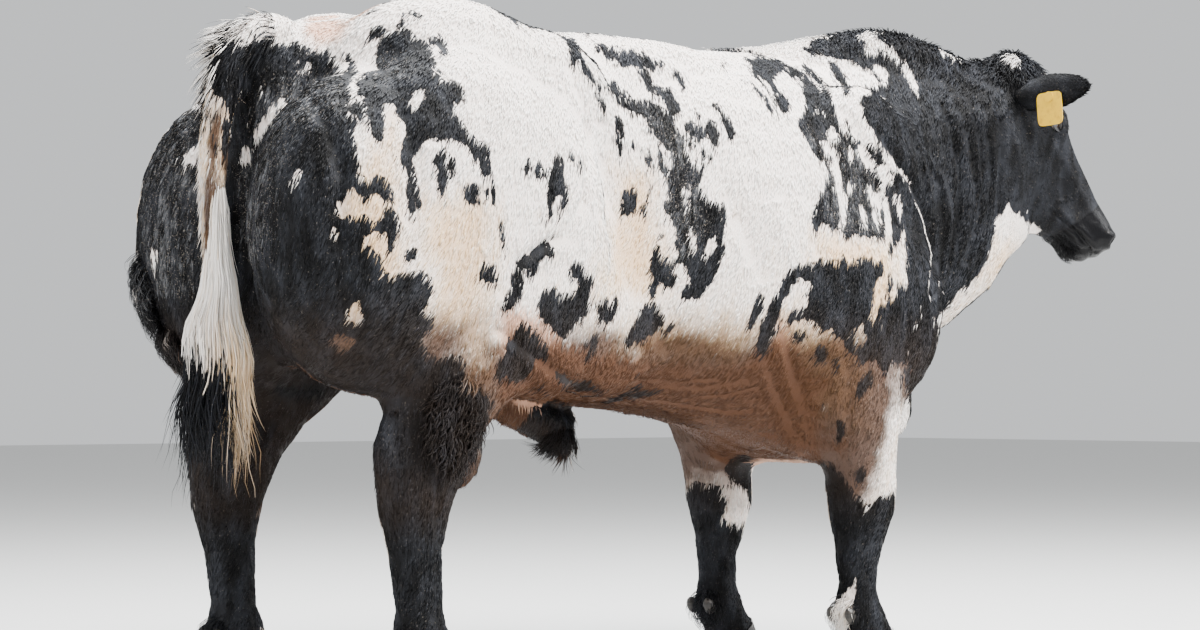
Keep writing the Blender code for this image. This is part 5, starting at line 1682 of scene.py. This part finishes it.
@dataclass
class TailHair:
    """The long switch at the end of the tail and the rough hair along and at the root of it."""

    switch_locks: int = 2300
    dock_locks: int = 2200
    sections: int = 10
    dock_sections: int = 6
    # Level, middle and half width of the switch in the picture's pixels
    outline: tuple = (
        (170, 219, 11), (205, 218, 11), (240, 218, 11), (262, 218, 14), (282, 219, 17), (300, 218, 20),
        (320, 215, 27), (340, 216, 32), (360, 218, 33), (380, 217, 30), (400, 213, 33), (420, 212, 35),
        (440, 213, 34), (470, 212, 36), (500, 210, 38), (515, 207, 36),
    )
    # Levels in the same pixels: highest root, span of the roots, run of a lock, tips, start of the loose hair
    # and of the black hair
    highest_root: float = 186.0
    span_of_roots: float = 170.0
    lock_run: tuple = (80.0, 190.0)
    tips: tuple = (395.0, 512.0)
    loose_from: float = 350.0
    black_from: float = 366.0

    def switch(self, material: bpy.types.Material, markings: Markings) -> bpy.types.Object:
        """Makes the switch: each lock starts high in it and runs down at its own share of the outline's width.

        Args:
            material: the hair's material.
            markings: what lays the colours.

        Returns:
            The object.
        """
        rng = np.random.default_rng(SEED + 1)
        count = thinned(self.switch_locks)
        low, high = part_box("tail_switch")
        middle = (np.array(low) + np.array(high)) / 2.0
        forward, _, _ = VIEW.axes()
        depth = float((middle - VIEW.position()) @ forward)
        t = np.linspace(0.0, 1.0, self.sections)
        start = self.highest_root + self.span_of_roots * rng.random(count)
        end = np.minimum(start + rng.uniform(*self.lock_run, count), rng.uniform(*self.tips, count))
        level = start[:, None] + (end - start)[:, None] * t
        share = rng.uniform(-1.0, 1.0, count)
        round_share = rng.uniform(-1.0, 1.0, count) * np.sqrt(1.0 - share**2)
        table = np.array(self.outline, float)
        centre = np.interp(level, table[:, 0], table[:, 1])
        half = np.interp(level, table[:, 0], table[:, 2])
        loose = np.clip((level - self.loose_from) / 90.0, 0.0, 1.0)
        wave = rng.uniform(0.4, 1.0, count)[:, None] * (0.6 + 5.0 * loose * rng.random(count)[:, None])
        turn = rng.uniform(0.0, 6.28, count)[:, None] + level / rng.uniform(7.0, 16.0, count)[:, None]
        drift = rng.normal(0.0, 1.0, count)[:, None] * t**1.6 * (2.0 + 7.0 * loose)
        # The roots lie under the hair above them, and the outer hair hangs fuller
        root = 0.55 + 0.45 * smoothstep(0.0, 0.22, np.broadcast_to(t, level.shape))
        px = centre + half * share[:, None] * root + wave * np.sin(turn) + drift
        out = half * round_share[:, None] * root * 0.0021 + wave * np.cos(turn) * 0.002
        paths = VIEW.at_depth(np.stack([px, level], axis=2), depth - out)
        down = unit(np.gradient(paths, axis=1))
        side = unit(np.cross(down, forward[None, None, :] + 0.8 * rng.normal(0.0, 1.0, (count, 1, 3))))
        colours = markings.lay(paths.reshape(-1, 3), np.tile(-forward, (count * self.sections, 1)), Part.TAIL)
        right = np.repeat(share, self.sections)
        rows = level.reshape(-1)
        # White down to the bulge, then black, but for one long cream strand on the right
        edge = self.black_from + 12.0 * np.repeat(rng.normal(0.0, 1.0, count), self.sections) + 10.0 * right
        depth_dark = np.clip((rows - edge) * 0.35, LIGHT, DARK)
        strand = smoothstep(0.42, 0.62, right) * smoothstep(512.0, 490.0, rows)
        colours.dark = depth_dark * (1.0 - strand) + LIGHT * strand
        colours.dark += np.repeat(rng.normal(0.0, 1.5, count), self.sections)
        colours.cream = np.clip(0.25 + 0.5 * smoothstep(280, 380, rows) * np.clip(right + 0.6, 0, 1), 0, 1)
        colours.stain = 0.45 * strand * smoothstep(380.0, 450.0, rows)
        colours.comb = np.repeat(rng.random((count, 3)) * 3.0, self.sections, axis=0)
        return Locks("tail_switch_hair").build(paths, side, rng.uniform(0.0012, 0.0028, count),
                                               rng.uniform(0.0006, 0.0011, count), colours,
                                               rng.normal(0.0, 0.8, count), material)

    def dock(self, material: bpy.types.Material, markings: Markings) -> bpy.types.Object:
        """Makes the rough hair down the tail: it leaves the tail at a slant and droops, longest at the root.

        Args:
            material: the hair's material.
            markings: what lays the colours.

        Returns:
            The object.
        """
        rng = np.random.default_rng(SEED + 2)
        count = thinned(self.dock_locks)
        sections = self.dock_sections
        run = TAIL_RUN[:, :3]
        where = 0.9 + rng.random(count) ** 1.35 * (len(run) - 2.2)
        index = where.astype(int)
        share = (where - index)[:, None]
        centre = run[index] * (1 - share) + run[index + 1] * share
        thick = TAIL_RUN[:, 3]
        radius = thick[index] * (1 - share[:, 0]) + thick[index + 1] * share[:, 0]
        axis = unit(run[index + 1] - run[index])
        # Across the tail, the hair of its back and left stands up pale, and the rest lies flat and dark
        back = unit(np.array([-0.80, 0.45, 0.40]))
        around = rng.normal(0.0, 1.0, (count, 3)) + back * 0.8
        out = unit(flattened(around, axis))
        stands = smoothstep(0.30, 0.75, out @ back)
        root = centre + out * (radius - 0.006)[:, None]
        top = smoothstep(3.4, 1.2, where)
        length = (0.026 + 0.052 * top * (0.35 + 0.65 * stands)) * rng.uniform(0.55, 1.3, count)
        t = np.linspace(0.0, 1.0, sections)[None, :, None]
        lean = 0.16 + (0.75 * top * stands)[:, None]
        start_way = unit(axis + out * lean + rng.normal(0, 0.16, (count, 3)))
        fall = DOWN * (length * 0.30)[:, None]
        paths = root[:, None] + start_way[:, None] * length[:, None, None] * t + fall[:, None] * t**2.0
        side = unit(np.cross(np.gradient(paths, axis=1), out[:, None] + rng.normal(0, 0.3, (count, 1, 3))))
        colours = markings.lay(np.repeat(root, sections, axis=0), np.repeat(out, sections, axis=0), Part.TAIL)
        left = smoothstep(-0.1, 0.5, out @ np.array([-0.75, 0.66, 0.0]))
        pale = rng.random(count) < np.where(where < 3.2, 0.05 + 0.35 * stands * top, 0.35 + 0.6 * left)
        darkness = np.where(where < 3.4, DARK, colours.dark[::sections])
        colours.dark = np.repeat(np.where(pale, LIGHT, darkness), sections)
        frosted = (stands * top > 0.3) & (rng.random(count) < 0.6)
        tips = np.tile(smoothstep(0.30, 0.75, t[0, :, 0]), count) * np.repeat(frosted, sections)
        colours.dark = colours.dark * (1.0 - tips) + LIGHT * tips
        colours.cream = np.clip(colours.cream * 0.4, 0.0, 1.0)
        return Locks("tail_root_hair").build(paths, side, rng.uniform(0.0010, 0.0022, count),
                                             rng.uniform(0.0005, 0.0010, count), colours,
                                             rng.normal(0.0, 0.8, count), material)


@dataclass
class Fringe:
    """A patch of longer hair on the skin: curls, fringes and tufts."""

    name: str
    count: int
    length: float
    width: float
    rise: float
    curl: float
    centre: tuple
    radius: tuple

    def build(self, surface: Surface, material: bpy.types.Material, markings: Markings) -> bpy.types.Object:
        """Grows locks from the skin inside an ellipsoid: each leaves at a slant, lies along the coat and curls.

        Args:
            surface: the skin.
            material: the hair's material.
            markings: what lays the colours.

        Returns:
            The object.
        """
        rng = np.random.default_rng(SEED + sum(map(ord, self.name)))
        count = thinned(self.count)
        middle = surface.points[surface.triangles].mean(axis=1)
        reach = np.linalg.norm((middle - np.array(self.centre)) / np.array(self.radius), axis=1)
        weight = smoothstep(1.0, 0.75, reach)
        roots, normals = surface.scatter(count, rng, weight)
        sections = 6 if self.curl > 0.3 else 5
        flow = combed(roots, normals)
        side = np.cross(normals, flow)
        flow = unit(flow + side * rng.normal(0.0, 0.35, count)[:, None])
        side = np.cross(normals, flow)
        length = self.length * rng.uniform(0.55, 1.3, count)
        t = np.linspace(0.0, 1.0, sections)[None, :]
        bow = np.sin(t * math.pi * 0.8) * self.rise
        turns = t * 6.283 * self.curl * rng.uniform(0.6, 1.3, count)[:, None]
        angle = turns + rng.uniform(0, 6.28, count)[:, None]
        swing = self.curl * 0.16 * length[:, None]
        ahead = length[:, None] * t * (1 - 0.25 * self.curl)
        upward = length[:, None] * bow + swing * (1 - np.cos(angle)) * t
        paths = (roots - normals * 0.002)[:, None] + flow[:, None] * ahead[..., None]
        sideways = swing * np.sin(angle) * t
        paths = paths + normals[:, None] * upward[..., None] + side[:, None] * sideways[..., None]
        across = unit(np.cross(np.gradient(paths, axis=1), normals[:, None]))
        colours = markings.lay(np.repeat(roots, sections, axis=0), np.repeat(normals, sections, axis=0))
        return Locks(self.name, "hide").build(paths, across, self.width * rng.uniform(0.7, 1.3, count),
                                              self.width * 0.4 * rng.uniform(0.7, 1.3, count), colours,
                                              rng.normal(0.0, 0.8, count), material)


@dataclass
class Eye:
    """One eye: a dark globe with a wide pupil, inside one almond ring that stands for both lids."""

    side: str
    radius: float = 0.0205
    rings: int = 24
    spokes: int = 40
    opening: float = 0.0185
    upper_lid: float = 0.0105
    lower_lid: float = 0.0085
    lid_steps: int = 64
    lid_sides: int = 12

    def centre(self) -> Array:
        """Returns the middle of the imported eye."""
        low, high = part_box(f"eye_{self.side}")
        return (np.array(low) + np.array(high)) / 2.0

    def axes(self) -> Array:
        """Returns the eye's axes as rows: outwards, along the lids, and up."""
        sign = sign_of(self.side)
        turn = HEAD.matrix()[:3, :3]
        outward = unit(turn @ np.array([0.05, sign, 0.14]))
        along = unit(turn @ np.array([1.0, 0.0, 0.05]))
        along = unit(along - (along @ outward) * outward)
        up = np.cross(outward, along)
        if up @ turn[:, 2] < 0:
            up = -up
        return np.stack([outward, along, up])

    def build(self, globe: bpy.types.Material, lid: bpy.types.Material) -> list[bpy.types.Object]:
        """Makes the globe, a sphere in rings round the outward axis, and the lids.

        Args:
            globe: the eye's material.
            lid: the lids' material.

        Returns:
            The pieces.
        """
        outward, along, up = self.axes()
        rings, spokes = self.rings, self.spokes
        polar = np.linspace(0.0, math.pi, rings)[1:-1]
        turn = np.arange(spokes) / spokes * FULL_TURN
        wide = np.sin(polar)
        local = np.stack([np.repeat(np.cos(polar), spokes), np.outer(wide, np.cos(turn)).ravel(),
                          np.outer(wide, np.sin(turn)).ravel()], axis=1)
        local = np.vstack([[1.0, 0.0, 0.0], local, [-1.0, 0.0, 0.0]])
        handed = 1.0 if np.dot(np.cross(outward, along), up) > 0 else -1.0
        points = self.centre() + (local * self.radius) @ np.stack([outward, along, up])
        faces = []
        for k in range(spokes):
            n = (k + 1) % spokes
            faces.append((0, 1 + k, 1 + n))
            for ring in range(rings - 3):
                a, b = 1 + ring * spokes + k, 1 + ring * spokes + n
                faces += [(a, a + spokes, b + spokes), (a, b + spokes, b)]
            last = 1 + (rings - 3) * spokes
            faces.append((len(points) - 1, last + n, last + k))
        faces = np.array(faces)
        if handed < 0:
            faces = faces[:, ::-1]
        ball = make_object(f"eyeball_{self.side}", points, faces, globe)
        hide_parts(f"eye_{self.side}")
        put_attribute(ball.data, "polar", np.degrees(np.arccos(np.clip(local[:, 0], -1, 1))) / 90.0)
        put_attribute(ball.data, "flat", np.hypot(local[:, 1] * 0.62, local[:, 2]))
        return [ball, self.lids(lid, outward, along, up)]

    def lids(self, material: bpy.types.Material, outward: Array, along: Array, up: Array) -> bpy.types.Object:
        """Makes both lids as one closed almond ring: u goes round the opening, v goes round the lid's section.

        Args:
            material: the lids' material.
            outward: unit vector out of the eye.
            along: unit vector along the lids.
            up: unit vector to the upper lid.

        Returns:
            The object.
        """
        steps, sides = self.lid_steps, self.lid_sides
        u = np.linspace(0.0, FULL_TURN, steps, endpoint=False)
        v = np.linspace(0.0, FULL_TURN, sides, endpoint=False)
        half_high = np.where(np.sin(u) > 0, self.upper_lid, self.lower_lid)
        x = self.opening * np.cos(u)
        z = half_high * np.sign(np.sin(u)) * np.abs(np.sin(u)) ** 1.25
        over = np.sqrt(np.maximum((self.radius + 0.0015) ** 2 - x**2 - z**2, 1e-6))
        way = unit(np.stack([0.35 + 0 * u, np.cos(u) * 0.8, np.sin(u)], axis=1))
        thick = 0.0030 + 0.0014 * (np.sin(u) > 0)
        centre = np.stack([over, x, z], axis=1) + way * thick[:, None]
        normal = np.array([1.0, 0.0, 0.0])
        section = np.cos(v)[None, :, None] * way[:, None] * 2.3 + np.sin(v)[None, :, None] * normal
        local = centre[:, None] + section * thick[:, None, None]
        points = self.centre() + local.reshape(-1, 3) @ np.stack([outward, along, up])
        first, k = np.arange(steps)[:, None] * sides, np.arange(sides)
        a, b = (first + k).ravel(), (first + (k + 1) % sides).ravel()
        c, d = (b + sides) % (steps * sides), (a + sides) % (steps * sides)
        faces = np.stack([a, b, c, d], axis=1)
        middle = points[:sides].mean(axis=0)
        p, q, r = (points[faces[0, k]] for k in range(3))
        if np.dot(np.cross(q - p, r - p), (p + r) / 2 - middle) < 0:
            faces = faces[:, ::-1]
        return make_object(f"eyelids_{self.side}", points, faces, material)


@dataclass
class Refined:
    """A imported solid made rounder: its copy is welded and subdivided."""

    node: str
    slot: str
    levels: int

    def build(self, material: bpy.types.Material) -> tuple[bpy.types.Object, Surface]:
        """Makes the finer piece in place of the solid.

        Args:
            material: its material.

        Returns:
            The object and its surface.
        """
        surface = welded(self.node)
        piece = make_object(f"{self.node}_fine", surface.points, surface.triangles, material)
        made = piece.modifiers.new("round", "SUBSURF")
        made.levels = made.render_levels = self.levels
        surface = settled(piece)
        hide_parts(self.node)
        return piece, surface


@dataclass(frozen=True)
class StudioLight:
    """One soft square light: where it stands, where it looks, its side in metres, its watts and its colour."""

    name: str
    place: tuple
    target: tuple
    size: float
    power: float
    colour: tuple

    def build(self) -> None:
        """Adds the light to the scene."""
        data = bpy.data.lights.new(self.name, "AREA")
        data.shape = "SQUARE"
        data.size = self.size
        data.energy = self.power
        data.color = self.colour
        light = bpy.data.objects.new(self.name, data)
        light.location = self.place
        aim = Vector(self.target) - Vector(self.place)
        light.rotation_euler = aim.to_track_quat("-Z", "Y").to_euler()
        bpy.context.scene.collection.objects.link(light)


@dataclass
class Stage:
    """Plain pale floor, soft studio lights and pale surroundings."""

    half_side: float = 30.0
    floor_colour: tuple = (0.66, 0.66, 0.65)
    sky_colour: tuple = (0.93, 0.95, 0.97, 1.0)
    sky_strength: float = 0.85
    lights: tuple = (
        StudioLight("key", (0.8, -4.2, 5.6), (-0.1, 0.0, 0.9), 2.2, 1250.0, (1.0, 0.98, 0.95)),
        StudioLight("top", (0.5, 0.6, 6.0), (0.0, 0.0, 1.0), 3.0, 1150.0, (0.96, 0.98, 1.0)),
        StudioLight("rear", (-6.0, 0.5, 3.2), (-0.8, 0.0, 1.0), 2.5, 230.0, (1.0, 0.98, 0.96)),
        StudioLight("front", (5.0, -3.5, 3.4), (0.8, -0.2, 1.1), 2.5, 330.0, (0.97, 0.98, 1.0)),
    )

    def floor(self) -> None:
        """Makes the floor: a wide flat square under the hoofs."""
        shader = Shader("floor", Base_Color=self.floor_colour, Roughness=0.9, Specular_IOR_Level=0.1)
        mesh = bpy.data.meshes.new("floor")
        ways = ((-1, -1), (1, -1), (1, 1), (-1, 1))
        mesh.from_pydata([(x * self.half_side, y * self.half_side, 0) for x, y in ways], [], [(0, 1, 2, 3)])
        mesh.materials.append(shader.material)
        floor = bpy.data.objects.new("floor", mesh)
        bpy.context.scene.collection.objects.link(floor)

    def build(self) -> None:
        """Sets the floor, the lights and the surroundings."""
        self.floor()
        for light in self.lights:
            light.build()
        world = bpy.data.worlds.new("studio")
        world.use_nodes = True
        background = world.node_tree.nodes["Background"]
        background.inputs["Color"].default_value = self.sky_colour
        background.inputs["Strength"].default_value = self.sky_strength
        bpy.context.scene.world = world


def horn_material() -> bpy.types.Material:
    """Returns the finish of the hoofs: dark horn with faint growth rings."""
    shader = Shader("hoof_horn_finish", Roughness=0.42, Specular_IOR_Level=0.5)
    place = shader.objects()
    rings = shader.noise(shader.stretched(place, (4.0, 4.0, 160.0)), 1.0, 3.0, 0.6)
    shader.set("Base Color", shader.mix(rings.step(0.3, 0.8), (0.010, 0.009, 0.008), (0.040, 0.034, 0.028)))
    shader.bump(rings, 0.0010, 0.5)
    return shader.material


def eye_material() -> bpy.types.Material:
    """Returns the finish of the eye: dark pupil across, brown iris and a pale rim, under a wet coat."""
    shader = Shader("eye_finish", Roughness=0.08, Coat_Weight=1.0, Coat_Roughness=0.02)
    flat = shader.attribute("flat")
    fibres = shader.noise(shader.objects(), 900.0, 2.0, 0.6)
    iris = shader.mix(fibres, (0.030, 0.012, 0.005), (0.085, 0.038, 0.014))
    colour = shader.mix(flat.step(0.26, 0.34), (0.004, 0.004, 0.006), iris)
    colour = shader.mix(flat.step(0.52, 0.60), colour, (0.42, 0.36, 0.33))
    shader.set("Base Color", colour)
    return shader.material


def plastic_material() -> bpy.types.Material:
    """Returns the finish of the ear tag: soft yellow plastic, a little dirty."""
    shader = Shader("yellow_plastic_finish", Roughness=0.45, Subsurface_Weight=0.05)
    dirt = shader.noise(shader.objects(), 60.0, 4.0, 0.65)
    shader.set("Base Color", shader.mix(dirt.step(0.45, 0.75), (0.62, 0.37, 0.002), (0.42, 0.23, 0.01)))
    return shader.material


def refinish(word: str, material: bpy.types.Material) -> None:
    """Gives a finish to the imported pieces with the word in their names."""
    for name, node in frame["nodes"].items():
        if word in name:
            node.data.materials.clear()
            node.data.materials.append(material)


def fringes(sight: Sight) -> list[Fringe]:
    """The patches of longer hair: on the head and the body, at pixels of the picture and over the dewclaws.

    Args:
        sight: what finds places of the skin.

    Returns:
        The patches.
    """
    poll, chin = (tuple(place) for place in HEAD.out([(0.02, 0.0, 0.02), (0.45, 0.0, -0.10)]))
    stifle, buttock, thigh, sheath = (
        tuple(sight.hit(x, y)) for x, y in ((458, 424), (146, 292), (172, 346), (563, 440)))
    result = [
        Fringe("poll_curls", 1800, 0.026, 0.0018, 0.30, 0.5, poll, (0.12, 0.13, 0.12)),
        Fringe("crest_hair", 1800, 0.024, 0.0014, 0.35, 0.15, (0.55, 0.0, 1.52), (0.50, 0.12, 0.10)),
        Fringe("stifle_curls", 1500, 0.040, 0.0015, 0.45, 0.6, stifle, (0.08, 0.08, 0.11)),
        Fringe("buttock_fringe", 900, 0.045, 0.0012, 0.55, 0.2, buttock, (0.06, 0.05, 0.10)),
        Fringe("thigh_fringe", 900, 0.042, 0.0013, 0.55, 0.3, thigh, (0.06, 0.06, 0.06)),
        Fringe("sheath_tuft", 800, 0.060, 0.0013, 0.10, 0.2, sheath, (0.05, 0.04, 0.04)),
        Fringe("belly_fringe", 1400, 0.026, 0.0012, 0.25, 0.1, (0.0, SHIFT[1], 0.63), (0.45, 0.10, 0.05)),
        Fringe("chin_hair", 450, 0.020, 0.0010, 0.35, 0.1, chin, (0.06, 0.06, 0.05)),
    ]
    for leg in ("fore_left", "fore_right", "hind_left", "hind_right"):
        place = np.mean([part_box(f"dewclaw_{leg}_{side}") for side in ("left", "right")], axis=(0, 1))
        result.append(Fringe(f"fetlock_{leg}", 420, 0.034, 0.0012, 0.55, 0.2, tuple(place), (0.06, 0.06, 0.05)))
    return result


def main() -> None:
    """Builds the animal piece by piece and reports each."""
    logging.basicConfig(level=logging.INFO, format="%(message)s")
    view = VIEW.build()
    LOG.info("camera %s", view.name)
    Stage().build()
    markings = Markings()
    skin_finish = CoatFinish().build("skin_finish", hair=False)
    hair_finish = CoatFinish().build("hair_finish", hair=True)
    _, surface = Skin().build(skin_finish, markings)
    ShortCoat().build(surface, hair_finish, markings)
    for side in ("left", "right"):
        Ear(side).build(skin_finish, hair_finish, markings)
    tail = TailHair()
    switch = tail.switch(hair_finish, markings)
    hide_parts("tail_switch")
    tail.dock(hair_finish, markings)
    for fringe in fringes(Sight(surface)):
        fringe.build(surface, hair_finish, markings)
    eye_finish = eye_material()
    lid_finish = Shader("lid_finish", Base_Color=(0.012, 0.011, 0.012), Roughness=0.5).material
    for side in ("left", "right"):
        Eye(side).build(eye_finish, lid_finish)
    refinish("claw", horn_material())
    refinish("ear_tag", plastic_material())


if __name__ == "__main__":
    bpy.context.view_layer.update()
    main()
